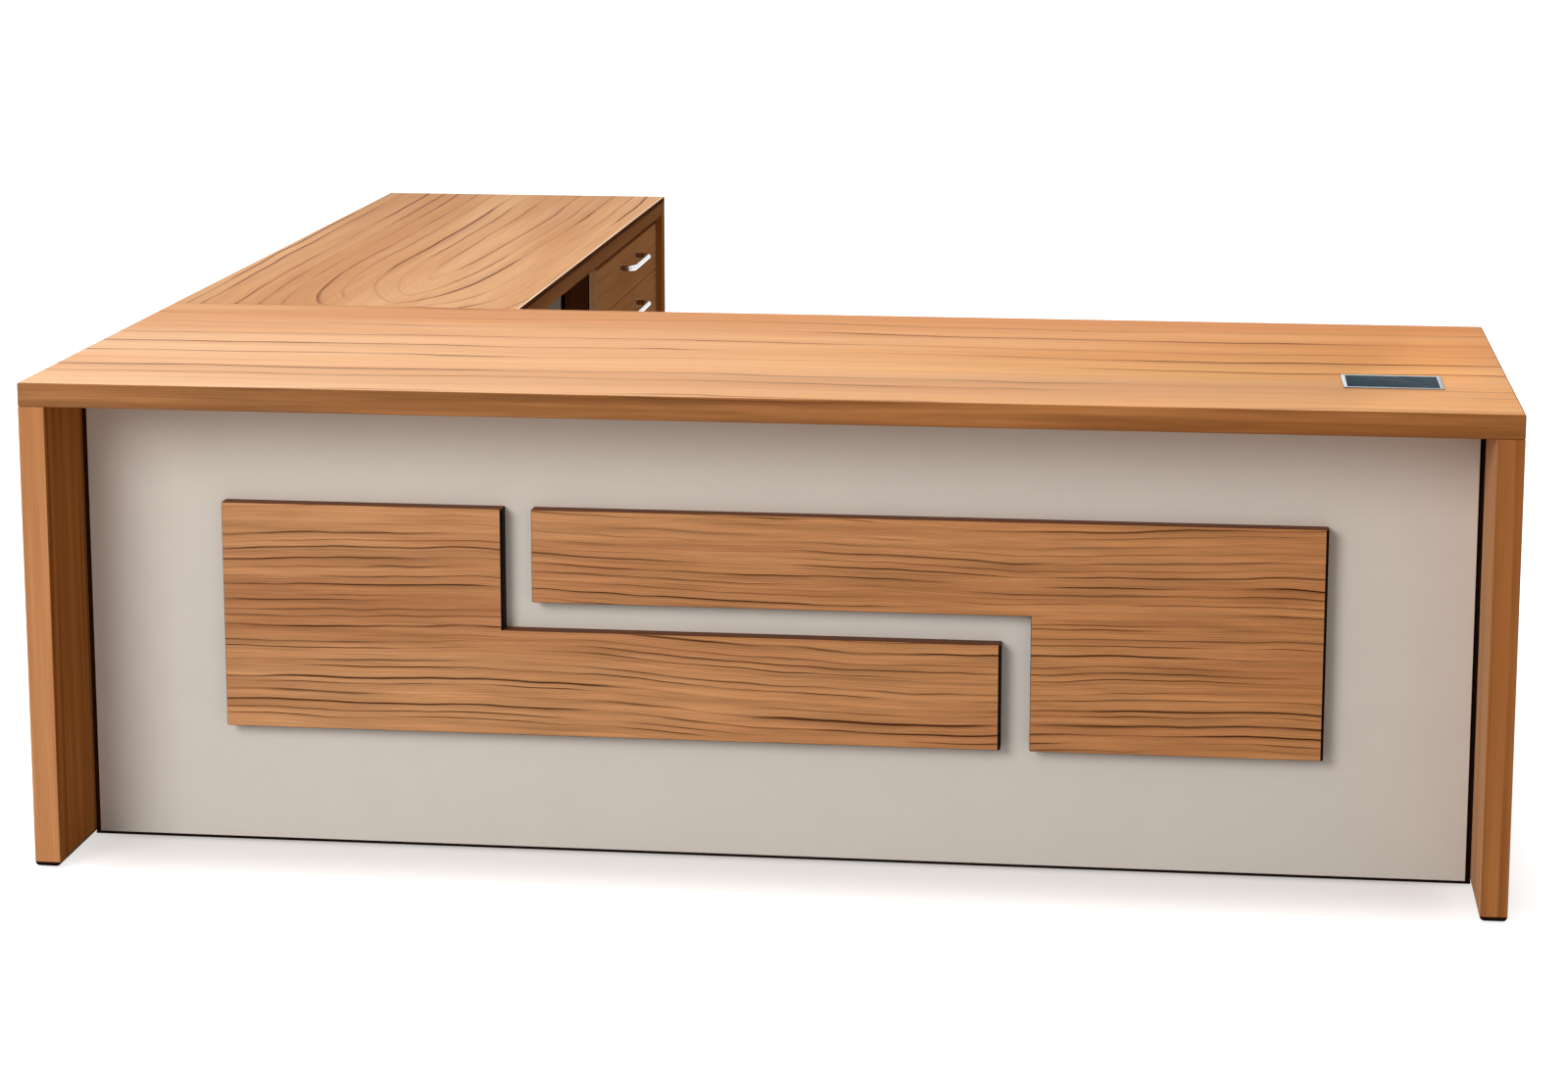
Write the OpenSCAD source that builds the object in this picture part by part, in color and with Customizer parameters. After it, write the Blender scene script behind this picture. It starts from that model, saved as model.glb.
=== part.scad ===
// L-shaped executive desk: a main desk on two slab side panels, a side return with a drawer pedestal,
// a modesty panel with two interlocking wood plates and a flip-top power box in the desktop.
// Frame: X to the right, Y from the visitor's side to the sitter's side, Z up. The origin is at the
// centre of the desk's footprint, on the floor. Modules place their pieces from the front edge.

/* [Desk] */
// Width of the main desk
desk_w = 2200; // [1900:10:2600]
// Depth of the main desk
desk_d = 800; // [700:10:950]
// Height of the desktop above the floor
desk_h = 750; // [720:5:800]
// Width of the side return
return_w = 600; // [560:10:750]
// Length of the side return behind the main desk
return_len = 1600; // [1400:10:2000]

/* [Boards] */
// Thickness of the two tops
top_t = 36; // [25:1:50]
// Thickness of the slab side panels
slab_t = 40; // [30:1:60]
// Radius at the foot of a slab panel
slab_foot_r = 7; // [2:0.5:9]
// Thickness of the modesty panels and the pedestal boards
panel_t = 18; // [15:1:22]
// Distance from the front edge to the modesty panel
panel_inset = 170; // [80:5:220]
// Distance from the return's outer edge to its back panel
return_panel_inset = 30; // [12:1:36]
// Width of the black trim beside and under the modesty panel
trim_w = 8; // [4:1:12]
// Height of the black trim under the panels
trim_h = 5; // [3:1:10]
// How far the side trim sits behind the panel's face
trim_set = 5; // [2:1:10]
// Clearance between the trim and the floor
trim_lift = 4; // [2:1:10]

/* [Front plates] */
// Width over both wood plates
plates_w = 1672; // [1300:4:1740]
// Height of the lower plate's long arm
lower_arm_h = 164; // [80:2:220]
// Height of the upper plate's long arm
upper_arm_h = 144; // [80:2:220]
// Gap between the plates
plate_gap = 44; // [20:1:80]
// Width of a plate's tall block
block_w = 436; // [250:2:520]
// Height of the plates above the floor
plates_z = 194; // [100:2:240]
// Thickness of a plate
plate_t = 25; // [12:1:40]

/* [Pedestal] */
// Width of the drawer pedestal along the return
ped_w = 720; // [450:10:900]
// Height of the top drawer's front
front_1_h = 96; // [84:1:120]
// Height of the middle drawer's front
front_2_h = 180; // [120:1:240]
// Thickness of a drawer front
front_t = 18; // [15:1:22]
// Gap between neighbouring drawer fronts
front_gap = 2; // [2:0.5:6]
// Gap between the return's top and the first front
front_top_gap = 17; // [6:1:22]
// Distance from the return's inner edge to the drawer fronts
front_recess = 13; // [4:1:40]
// Gap between a closed drawer front and the cabinet's edge
front_back_gap = 2; // [1:0.5:4]
// Gap beside a drawer front
front_side_gap = 1; // [0.5:0.5:3]
// How much of the cabinet floor's edge shows below the last front
floor_show = 4; // [0:1:10]
// Width of the dark stile at the cabinet's front corner
stile_w = 45; // [30:1:80]
// Width of the shadow gap behind the stile
shadow_gap = 9; // [4:1:16]
// Depth of the shadow gap
shadow_depth = 7; // [3:1:12]
// Height of the cabinet's floor above the ground
ped_floor_z = 62; // [40:1:90]
// How far the plinth sits behind the cabinet's front edge
plinth_recess = 40; // [20:1:80]
// Depth of a cabinet rail
rail_d = 80; // [50:1:120]
// Thickness of the cabinet's back
back_t = 5; // [3:1:12]

/* [Drawers] */
// Length of a drawer box
box_len = 450; // [350:10:480]
// Thickness of a drawer box wall
box_wall = 12; // [10:1:16]
// Tallest drawer box wall
box_max_h = 240; // [120:5:300]
// Clearance between a drawer box and the cabinet's floor or rail
box_run = 5; // [3:0.5:8]
// Thickness of a drawer bottom
bottom_t = 5; // [3:0.5:8]
// Height of the drawer bottom above the wall's lower edge
bottom_lift = 8; // [6:1:12]
// Depth of the groove that holds the drawer bottom
groove_d = 5; // [3:0.5:8]

/* [Runners] */
// Room for one runner between cabinet and drawer
runner_w = 13; // [12.5:0.5:15]
// Height of a runner
runner_h = 35; // [30:1:36]
// Sheet thickness of a runner
runner_t = 1.2; // [1:0.1:1.5]
// Clearance between two runner members
runner_clear = 0.35; // [0.3:0.05:0.6]
// Depth of a runner channel's flanges
runner_flange = 8.5; // [7:0.5:9]
// How far a runner ends before the cabinet's edge
runner_set = 2; // [1:0.5:6]
// Height of the runner's middle above the drawer box's lower edge
runner_lift = 26; // [24:1:28]

/* [Handles] */
// Distance between a handle's two feet
handle_cc = 192; // [96:32:320]
// Diameter of the handle bar
handle_dia = 11; // [8:0.5:12]
// Distance from the front to the bar's middle
handle_reach = 27; // [24:1:40]
// Radius of a handle's bend
handle_bend_r = 14; // [10:1:18]
// Distance from the front's upper edge to the handle
handle_drop = 33; // [28:1:46]
// Diameter of a handle's foot ring
foot_ring_dia = 14; // [12:0.5:20]
// Thickness of a handle's foot ring
foot_ring_t = 1.2; // [1:0.2:3]

/* [Fittings] */
// Height of a glide under the boards
glide_h = 5; // [4:1:12]
// Diameter of a glide under a slab panel
glide_dia = 22; // [14:1:26]
// Diameter of a glide under a pedestal board
small_glide_dia = 16; // [8:1:18]
// Distance from a board's end to its glide
glide_end = 60; // [20:5:120]
// Thickness of the steel plates and brackets
steel_t = 3; // [2:0.5:5]
// Leg of an angle bracket
bracket_leg = 40; // [30:1:60]
// Length of an angle bracket
bracket_len = 50; // [30:1:80]
// Width of a seam plate
seam_plate_w = 44; // [36:1:70]
// Length of a seam plate across the seam
seam_plate_l = 130; // [90:1:200]
// Number of seam plates
seam_plates_n = 3; // [2:1:4]
// Diameter of a wood screw's shank
screw_dia = 4; // [3:0.5:5]
// Length of a wood screw in the board
screw_bite = 13; // [8:1:14]
// Diameter of a screw head
head_dia = 8.4; // [7:0.2:10]
// Height of a screw head
head_h = 2.4; // [1.5:0.1:3]

/* [Power box] */
// Width of the power box's rim
box_rim_w = 147; // [110:1:180]
// Depth of the power box's rim
box_rim_d = 110; // [100:1:130]
// Distance from the desk's right edge to the middle of the power box
power_from_right = 174; // [160:1:400]
// Distance from the desk's front edge to the middle of the power box
power_from_front = 246; // [240:1:500]
// Thickness of the rim on the desktop
rim_t = 1.6; // [1:0.2:3]
// How far the rim overlaps the desktop
rim_lap = 4; // [2:0.5:6]
// Height of the frame's skirt in the cut-out
skirt_h = 24; // [16:1:25]
// Thickness of the frame's skirt
skirt_t = 1.6; // [1.4:0.1:2.4]
// Clearance around the frame in the cut-out
skirt_clear = 0.3; // [0.2:0.1:1]
// Thickness of the lid
lid_t = 4; // [3:0.5:5]
// Gap around the lid
lid_gap = 0.7; // [0.5:0.1:1.2]
// Radius of the lid's hinge barrel
barrel_r = 3; // [2.6:0.1:3.5]
// Diameter of the hinge pin
pin_dia = 3; // [2:0.2:3.4]
// Running clearance of the hinge pin
pin_clear = 0.06; // [0.02:0.01:0.1]
// Width of the lid's cable notch
notch_w = 26; // [16:1:40]
// Depth of the lid's cable notch
notch_d = 8; // [6:0.5:12]
// Width of the ledge under the lid
ledge_w = 3; // [2:0.5:5]
// Thickness of the ledge
ledge_t = 2; // [1:0.2:3]
// Depth of the housing under the ledge
housing_h = 70; // [50:1:90]
// Wall of the housing
housing_wall = 2; // [1.4:0.1:3]
// Height of the socket block in the housing
sockets_h = 34; // [20:1:40]

/* [Hidden] */
$fn = 48;

wood = "#c98c58";
plate_wood = "#b9794a";
greige = "#bcb4a8";
dark_wood = "#46301f";
box_board = "#d8cdbb";
black = "#1c1b1a";
steel = "#9a9c9e";
chrome = "#d4d6d8";

half_w = desk_w / 2;
total_d = desk_d + return_len;
under_z = desk_h - top_t;
left_in = -half_w + slab_t;
right_in = half_w - slab_t;
return_edge = -half_w + return_w;
end_panel_y = total_d - slab_t;
panel_z = trim_lift + trim_h;
panel_back = panel_inset + panel_t;
return_panel_in = -half_w + return_panel_inset + panel_t;

ped_y = end_panel_y - ped_w;
ped_in_near = ped_y + panel_t;
ped_in_far = end_panel_y - panel_t;
ped_in_w = ped_in_far - ped_in_near;
front_face = return_edge - front_recess;
front_back = front_face - front_t;
cabinet_face = front_back - front_back_gap;
stile_back = cabinet_face - stile_w;
side_face = stile_back - shadow_gap;
fronts_top = under_z - front_top_gap;
fronts_low = ped_floor_z + floor_show;
front_3_h = fronts_top - fronts_low - front_1_h - front_2_h - 2 * front_gap;
front_w = ped_w - 2 * front_side_gap;

box_lift = panel_t - floor_show + box_run;
box_drop = panel_t - front_top_gap + box_run;
box_w = ped_in_w - 2 * runner_w;
box_y = ped_in_near + runner_w;
runner_len = box_len - runner_set;
ped_mid_y = ped_y + ped_w / 2;

power_x = half_w - power_from_right;
cut_w = box_rim_w - 2 * rim_lap;
cut_d = box_rim_d - 2 * rim_lap;
skirt_w = cut_w - 2 * skirt_clear;
skirt_d = cut_d - 2 * skirt_clear;
well_w = skirt_w - 2 * skirt_t;
well_d = skirt_d - 2 * skirt_t;
lid_w = well_w - 2 * lid_gap;
lid_d = well_d - 2 * lid_gap;
lid_z = desk_h + rim_t;
lid_rest = 0.3;
ledge_z = lid_z - lid_t - lid_rest;
housing_top = ledge_z - ledge_t;
hinge_y = -lid_d / 2 + barrel_r;
hinge_z = lid_z - barrel_r;
housing_slip = 0.2;
housing_w = well_w - 2 * housing_slip;
housing_d = well_d - 2 * housing_slip;
socket_cc = 52;
inlet_r = 9;
inlet_bore_r = 4;
inlet_h = 12;

seam_span = return_w - slab_t - 2 * 80;
screw_step_x = seam_plate_w / 4;
screw_step_y = seam_plate_l / 2 - 20;
bracket_hole = bracket_leg / 2 + 2;
bracket_inset = 90;

// Height of drawer i's front, of its upper edge, and of its box
function front_h(i) = i == 1 ? front_1_h : i == 2 ? front_2_h : front_3_h;
function front_top(i) = i == 1 ? fronts_top : front_top(i - 1) - front_h(i - 1) - front_gap;
function front_z(i) = front_top(i) - front_h(i);
function box_h(i) = min(front_h(i) - box_lift - box_drop, box_max_h);
function box_z(i) = front_z(i) + box_lift;
function runner_z(i) = box_z(i) + runner_lift;
function handle_z(i) = front_top(i) - handle_drop;
// What a handle screw passes through: the front, and the box wall where it reaches that high
function screwed_t(i) = front_t + (handle_z(i) + head_dia / 2 < box_z(i) + box_h(i) ? box_wall : 0);

// Where each angle bracket stands: place of its corner and turn about Z
brackets = [
    [[left_in, panel_back + bracket_inset, under_z], 0],
    [[left_in, desk_d - bracket_inset, under_z], 0],
    [[right_in, panel_back + 2 * bracket_inset, under_z], 180],
    [[right_in, desk_d - bracket_inset, under_z], 180],
    [[-desk_w / 4, panel_back, under_z], 90],
    [[desk_w / 4, panel_back, under_z], 90],
    [[return_panel_in, desk_d + 2 * bracket_inset, under_z], 0],
    [[return_panel_in, ped_y - bracket_inset, under_z], 0]];
seam_plate_x = [for (k = [0 : seam_plates_n - 1]) left_in + 80 + seam_span * k / (seam_plates_n - 1)];

// Moves a piece from the front edge's frame to the desk's own frame
module from_front() {
    translate([0, -total_d / 2, 0]) children();
}

module board(x0, x1, y0, y1, z0, z1) {
    translate([x0, y0, z0]) cube([x1 - x0, y1 - y0, z1 - z0]);
}

// A slab panel seen on its end, thickness along X and foot corners rounded
module slab_profile() {
    r = slab_foot_r;
    translate([0, glide_h + r]) square([slab_t, under_z - glide_h - r]);
    translate([r, glide_h]) square([slab_t - 2 * r, r]);
    for (x = [r, slab_t - r]) translate([x, glide_h + r]) circle(r);
}

module slab(len) {
    translate([0, len, 0]) rotate([90, 0, 0]) linear_extrude(len) slab_profile();
}

module screw_shank(dia, len) {
    cylinder(d = dia, h = len);
}

// A wood screw pointing up, with the underside of its head at z = 0
module wood_screw() {
    screw_shank(screw_dia, steel_t + screw_bite);
    translate([0, 0, -head_h]) cylinder(d = head_dia, h = head_h);
}

module at_seam_plates() {
    for (x = seam_plate_x) translate([x, desk_d, under_z]) children();
}

module at_seam_screws() {
    at_seam_plates() for (sx = [-1, 1], sy = [-1, 1])
        translate([sx * screw_step_x, sy * screw_step_y, -steel_t]) children();
}

module at_brackets() {
    for (b = brackets) translate(b[0]) rotate([0, 0, b[1]]) children();
}

module at_bracket_screws() {
    at_brackets() {
        translate([bracket_hole, 0, -steel_t]) children();
        translate([steel_t, 0, -bracket_hole]) rotate([0, -90, 0]) children();
    }
}

// The holes that all wood screws leave in the boards and steel plates
module screw_holes() {
    at_seam_screws() screw_shank(screw_dia, steel_t + screw_bite);
    at_bracket_screws() screw_shank(screw_dia, steel_t + screw_bite);
}

module at_power() {
    translate([power_x, power_from_front, 0]) children();
}

module main_top() {
    color(wood) from_front() difference() {
        board(-half_w, half_w, 0, desk_d, under_z, desk_h);
        at_power() translate([0, 0, under_z - 1]) linear_extrude(top_t + 2)
            square([cut_w, cut_d], center = true);
        screw_holes();
    }
}

module return_top() {
    color(wood) from_front() difference() {
        board(-half_w, return_edge, desk_d, total_d, under_z, desk_h);
        screw_holes();
    }
}

module left_side_panel() {
    color(wood) from_front() difference() {
        translate([-half_w, 0, 0]) slab(desk_d);
        screw_holes();
    }
}

module right_side_panel() {
    color(wood) from_front() difference() {
        translate([right_in, 0, 0]) slab(desk_d);
        screw_holes();
    }
}

module return_end_panel() {
    color(wood) from_front() translate([-half_w, total_d, 0]) rotate([0, 0, -90]) slab(return_w);
}

module modesty_panel() {
    color(greige) from_front() difference() {
        board(left_in + trim_w, right_in - trim_w, panel_inset, panel_back, panel_z, under_z);
        screw_holes();
    }
}

module return_back_panel() {
    color(greige) from_front() difference() {
        board(return_panel_in - panel_t, return_panel_in, desk_d, end_panel_y, panel_z, under_z);
        screw_holes();
    }
}

module panel_trim() {
    trim_y = panel_inset + trim_set;
    color(black) from_front() {
        board(left_in, left_in + trim_w, trim_y, panel_back, panel_z, under_z);
        board(right_in - trim_w, right_in, trim_y, panel_back, panel_z, under_z);
        board(left_in, right_in, panel_inset + 2, panel_back, trim_lift, panel_z);
        board(return_panel_in - panel_t + 2, return_panel_in, desk_d, end_panel_y, trim_lift, panel_z);
    }
}

// One plate's outline: a tall block at the left and a long arm along its foot
module plate_outline(arm_h) {
    plates_h = lower_arm_h + plate_gap + upper_arm_h;
    square([block_w, plates_h]);
    square([plates_w - block_w - plate_gap, arm_h]);
}

module front_plate_left() {
    color(plate_wood) from_front() translate([-plates_w / 2, panel_inset, plates_z])
        rotate([90, 0, 0]) linear_extrude(plate_t) plate_outline(lower_arm_h);
}

module front_plate_right() {
    plates_h = lower_arm_h + plate_gap + upper_arm_h;
    color(plate_wood) from_front() translate([plates_w / 2, panel_inset, plates_z + plates_h])
        rotate([90, 180, 0]) linear_extrude(plate_t) plate_outline(upper_arm_h);
}

module pedestal_side_near() {
    color(greige) from_front()
        board(return_panel_in, side_face, ped_y, ped_in_near, glide_h, under_z);
}

module pedestal_side_far() {
    color(greige) from_front()
        board(return_panel_in, cabinet_face, ped_in_far, end_panel_y, glide_h, under_z);
}

module pedestal_stile() {
    color(dark_wood) from_front()
        board(stile_back, cabinet_face, ped_y, ped_in_near, glide_h, under_z);
}

module pedestal_shadow_strip() {
    color(black) from_front()
        board(side_face, stile_back, ped_y + shadow_depth, ped_in_near, glide_h, under_z);
}

module pedestal_floor() {
    color(greige) from_front()
        board(return_panel_in, cabinet_face, ped_in_near, ped_in_far, ped_floor_z, ped_floor_z + panel_t);
}

module pedestal_back() {
    color(box_board) from_front() board(return_panel_in, return_panel_in + back_t, ped_in_near, ped_in_far,
        ped_floor_z + panel_t, under_z - panel_t);
}

module pedestal_rails() {
    color(dark_wood) from_front() for (x = [return_panel_in, cabinet_face - rail_d])
        board(x, x + rail_d, ped_in_near, ped_in_far, under_z - panel_t, under_z);
}

module pedestal_plinth() {
    plinth_x = cabinet_face - plinth_recess;
    color(dark_wood) from_front()
        board(plinth_x - panel_t, plinth_x, ped_in_near, ped_in_far, glide_h, ped_floor_z);
}

// Both handle screws of drawer i, pointing out of the drawer along X
module at_handle_feet(i) {
    for (s = [-1, 1]) translate([front_face, ped_mid_y + s * handle_cc / 2, handle_z(i)]) children();
}

module handle_screw_shanks(i) {
    at_handle_feet(i) translate([-screwed_t(i), 0, 0]) rotate([0, 90, 0])
        screw_shank(screw_dia, screwed_t(i) + handle_reach - handle_bend_r);
}

module drawer_front(i) {
    color(wood) from_front() difference() {
        board(front_back, front_face, ped_y + front_side_gap, ped_y + front_side_gap + front_w,
            front_z(i), front_top(i));
        handle_screw_shanks(i);
    }
}

module drawer_bottom_shape(i) {
    inset = box_wall - groove_d;
    board(front_back - box_len + inset, front_back - inset, box_y + inset, box_y + box_w - inset,
        box_z(i) + bottom_lift, box_z(i) + bottom_lift + bottom_t);
}

module drawer_box(i) {
    color(box_board) from_front() difference() {
        board(front_back - box_len, front_back, box_y, box_y + box_w, box_z(i), box_z(i) + box_h(i));
        board(front_back - box_len + box_wall, front_back - box_wall, box_y + box_wall,
            box_y + box_w - box_wall, box_z(i) - 1, box_z(i) + box_h(i) + 1);
        drawer_bottom_shape(i);
        handle_screw_shanks(i);
    }
}

module drawer_bottom(i) {
    color(box_board) from_front() drawer_bottom_shape(i);
}

// A bow handle in the plane z = 0, feet on x = 0 and its middle at y = 0
module bow_handle() {
    r = handle_dia / 2;
    post = handle_reach - handle_bend_r;
    bar = handle_cc - 2 * handle_bend_r;
    translate([handle_reach, bar / 2, 0]) rotate([90, 0, 0]) cylinder(r = r, h = bar);
    for (s = [0, 1]) mirror([0, s, 0]) {
        translate([0, handle_cc / 2, 0]) rotate([0, 90, 0]) {
            cylinder(r = r, h = post);
            cylinder(d = foot_ring_dia, h = foot_ring_t);
        }
        translate([post, bar / 2, 0]) rotate_extrude(angle = 90) translate([handle_bend_r, 0]) circle(r);
    }
}

module drawer_handle(i) {
    color(chrome) from_front() difference() {
        translate([front_face, ped_mid_y, handle_z(i)]) bow_handle();
        handle_screw_shanks(i);
    }
}

module drawer_screws(i) {
    color(steel) from_front() {
        handle_screw_shanks(i);
        at_handle_feet(i) translate([-screwed_t(i) - head_h, 0, 0]) rotate([0, 90, 0])
            cylinder(d = head_dia, h = head_h);
    }
}

// A channel along X with its web on y = 0, open towards +Y
module channel(len, h, d) {
    translate([0, 0, -h / 2]) cube([len, runner_t, h]);
    for (z = [-h / 2, h / 2 - runner_t]) translate([0, 0, z]) cube([len, d, runner_t]);
}

// Both runners of drawer i, drawn for the near side from the cabinet wall towards the drawer
module runner_pair(i) {
    translate([cabinet_face - runner_set - runner_len, ped_in_near, runner_z(i)]) children();
    translate([cabinet_face - runner_set - runner_len, ped_in_far, runner_z(i)]) mirror([0, 1, 0]) children();
}

module runner_fixed(i) {
    color(steel) from_front() runner_pair(i) channel(runner_len, runner_h, runner_flange);
}

module runner_middle(i) {
    step = runner_t + runner_clear;
    color(steel) from_front() runner_pair(i)
        translate([0, step, 0]) channel(runner_len, runner_h - 2 * step, runner_flange);
}

module runner_inner(i) {
    step = runner_t + runner_clear;
    color(steel) from_front() runner_pair(i)
        translate([0, runner_w, 0]) mirror([0, 1, 0]) channel(runner_len, runner_h - 4 * step, runner_flange);
}

module glides() {
    color(black) from_front() {
        for (x = [-half_w + slab_t / 2, half_w - slab_t / 2], y = [glide_end, desk_d - glide_end])
            translate([x, y, 0]) cylinder(d = glide_dia, h = glide_h);
        for (x = [-half_w + glide_end, return_edge - glide_end])
            translate([x, total_d - slab_t / 2, 0]) cylinder(d = glide_dia, h = glide_h);
        for (x = [return_panel_in + glide_end, side_face - glide_end])
            translate([x, ped_y + panel_t / 2, 0]) cylinder(d = small_glide_dia, h = glide_h);
    }
}

module seam_plates() {
    color(steel) from_front() difference() {
        at_seam_plates() translate([-seam_plate_w / 2, -seam_plate_l / 2, -steel_t])
            cube([seam_plate_w, seam_plate_l, steel_t]);
        screw_holes();
    }
}

module corner_brackets() {
    color(steel) from_front() difference() {
        at_brackets() {
            translate([0, -bracket_len / 2, -steel_t]) cube([bracket_leg, bracket_len, steel_t]);
            translate([0, -bracket_len / 2, -bracket_leg]) cube([steel_t, bracket_len, bracket_leg]);
        }
        screw_holes();
    }
}

module wood_screws() {
    color(steel) from_front() {
        at_seam_screws() wood_screw();
        at_bracket_screws() wood_screw();
    }
}

module power_pin(r, len) {
    translate([-len / 2, hinge_y, hinge_z]) rotate([0, 90, 0]) cylinder(r = r, h = len);
}

module power_frame() {
    skirt_z = desk_h - skirt_h;
    color(chrome) from_front() at_power() difference() {
        union() {
            translate([0, 0, desk_h]) linear_extrude(rim_t) square([box_rim_w, box_rim_d], center = true);
            translate([0, 0, skirt_z]) linear_extrude(skirt_h) square([skirt_w, skirt_d], center = true);
        }
        translate([0, 0, skirt_z - 1]) linear_extrude(ledge_z - ledge_t - skirt_z + 1)
            square([well_w, well_d], center = true);
        translate([0, 0, ledge_z]) linear_extrude(lid_z - ledge_z + 1) square([well_w, well_d], center = true);
        translate([0, 0, skirt_z - 1]) linear_extrude(skirt_h + rim_t + 2)
            square([well_w - 2 * ledge_w, well_d - 2 * ledge_w], center = true);
        translate([-well_w / 2, -well_d / 2, skirt_z]) cube([well_w, 2 * barrel_r + 3 * lid_gap, skirt_h]);
        translate([-notch_w / 2, 0, skirt_z]) cube([notch_w, well_d / 2, skirt_h]);
        power_pin(pin_dia / 2 + pin_clear, well_w + 2 * skirt_t - 0.4);
    }
}

module power_lid() {
    color(black) from_front() at_power() difference() {
        union() {
            power_pin(barrel_r, lid_w);
            translate([-lid_w / 2, hinge_y, lid_z - lid_t]) cube([lid_w, lid_d / 2 - hinge_y, lid_t]);
        }
        power_pin(pin_dia / 2, lid_w + 2);
        translate([-notch_w / 2 + 3, lid_d / 2 - notch_d, lid_z - lid_t - 1])
            cube([notch_w - 6, notch_d + 1, lid_t + 2]);
        translate([-notch_w / 2, lid_d / 2 - notch_d + 3, lid_z - lid_t - 1])
            cube([notch_w, notch_d, lid_t + 2]);
        for (s = [-1, 1]) translate([s * (notch_w / 2 - 3), lid_d / 2 - notch_d + 3, lid_z - lid_t - 1])
            cylinder(r = 3, h = lid_t + 2);
    }
}

module power_hinge_pin() {
    color(steel) from_front() at_power() power_pin(pin_dia / 2, well_w + 2 * skirt_t - 1);
}

module power_housing() {
    low = housing_top - housing_h;
    color(black) from_front() at_power() difference() {
        translate([0, 0, low]) linear_extrude(housing_h) square([housing_w, housing_d], center = true);
        translate([0, 0, low + housing_wall]) linear_extrude(housing_h)
            square([housing_w - 2 * housing_wall, housing_d - 2 * housing_wall], center = true);
        translate([0, housing_d / 2 + 1, low + inlet_r + 6]) rotate([90, 0, 0])
            cylinder(r = inlet_r - 2, h = housing_wall + 2);
    }
}

// A block of two flush sockets with flat slots, standing on the housing's floor
module power_sockets() {
    low = housing_top - housing_h + housing_wall;
    top = low + sockets_h;
    slot_depth = 14;
    block_d = housing_d - 2 * housing_wall - 24;
    color("#2c2e31") from_front() at_power() difference() {
        translate([-housing_w / 2 + housing_wall + 4, -block_d / 2, low])
            cube([housing_w - 2 * housing_wall - 8, block_d, sockets_h]);
        for (s = [-1, 1]) translate([s * socket_cc / 2, 0, top - slot_depth]) {
            for (x = [-8, 8]) translate([x - 1, 0, 0]) cube([2.2, 8, slot_depth + 1]);
            translate([-1.2, -12, 0]) cube([2.4, 7, slot_depth + 1]);
        }
    }
}

module power_cord_inlet() {
    low = housing_top - housing_h;
    color(black) from_front() at_power() difference() {
        translate([0, housing_d / 2 + inlet_h, low + inlet_r + 6]) rotate([90, 0, 0]) {
            cylinder(r = inlet_r, h = inlet_h);
            cylinder(r = inlet_r - 2, h = inlet_h + housing_wall);
        }
        translate([0, housing_d / 2 + inlet_h + 1, low + inlet_r + 6]) rotate([90, 0, 0])
            cylinder(r = inlet_bore_r, h = inlet_h + housing_wall + 2);
    }
}

main_top();
return_top();
left_side_panel();
right_side_panel();
return_end_panel();
modesty_panel();
return_back_panel();
panel_trim();
front_plate_left();
front_plate_right();
pedestal_side_near();
pedestal_side_far();
pedestal_stile();
pedestal_shadow_strip();
pedestal_floor();
pedestal_back();
pedestal_rails();
pedestal_plinth();
drawer_front(1);  // drawer_1_front
drawer_box(1);  // drawer_1_box
drawer_bottom(1);  // drawer_1_bottom
drawer_handle(1);  // drawer_1_handle
drawer_screws(1);  // drawer_1_screws
drawer_front(2);  // drawer_2_front
drawer_box(2);  // drawer_2_box
drawer_bottom(2);  // drawer_2_bottom
drawer_handle(2);  // drawer_2_handle
drawer_screws(2);  // drawer_2_screws
drawer_front(3);  // drawer_3_front
drawer_box(3);  // drawer_3_box
drawer_bottom(3);  // drawer_3_bottom
drawer_handle(3);  // drawer_3_handle
drawer_screws(3);  // drawer_3_screws
runner_fixed(1);  // runner_fixed_1
runner_middle(1);  // runner_middle_1
runner_inner(1);  // runner_inner_1
runner_fixed(2);  // runner_fixed_2
runner_middle(2);  // runner_middle_2
runner_inner(2);  // runner_inner_2
runner_fixed(3);  // runner_fixed_3
runner_middle(3);  // runner_middle_3
runner_inner(3);  // runner_inner_3
glides();
seam_plates();
corner_brackets();
wood_screws();
power_frame();
power_lid();
power_hinge_pin();
power_housing();
power_sockets();
power_cord_inlet();
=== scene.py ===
import math

import bmesh
import bpy
from mathutils import Matrix, Vector


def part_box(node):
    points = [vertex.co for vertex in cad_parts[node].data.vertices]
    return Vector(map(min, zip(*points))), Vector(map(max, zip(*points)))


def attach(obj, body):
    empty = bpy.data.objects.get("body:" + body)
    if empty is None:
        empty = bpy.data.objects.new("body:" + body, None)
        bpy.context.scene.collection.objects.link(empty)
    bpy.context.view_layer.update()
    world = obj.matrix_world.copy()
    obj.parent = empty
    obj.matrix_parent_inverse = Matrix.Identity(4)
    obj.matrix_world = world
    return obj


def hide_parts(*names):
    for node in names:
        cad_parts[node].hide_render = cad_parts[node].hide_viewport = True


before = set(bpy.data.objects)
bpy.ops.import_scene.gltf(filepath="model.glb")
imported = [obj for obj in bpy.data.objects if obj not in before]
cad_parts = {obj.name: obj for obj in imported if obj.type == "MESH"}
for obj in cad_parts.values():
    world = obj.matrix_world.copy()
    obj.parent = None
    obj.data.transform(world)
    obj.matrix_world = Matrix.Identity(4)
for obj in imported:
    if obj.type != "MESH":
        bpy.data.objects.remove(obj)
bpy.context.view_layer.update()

scene = bpy.context.scene
print("desk: frame loaded")


# Camera

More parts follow.
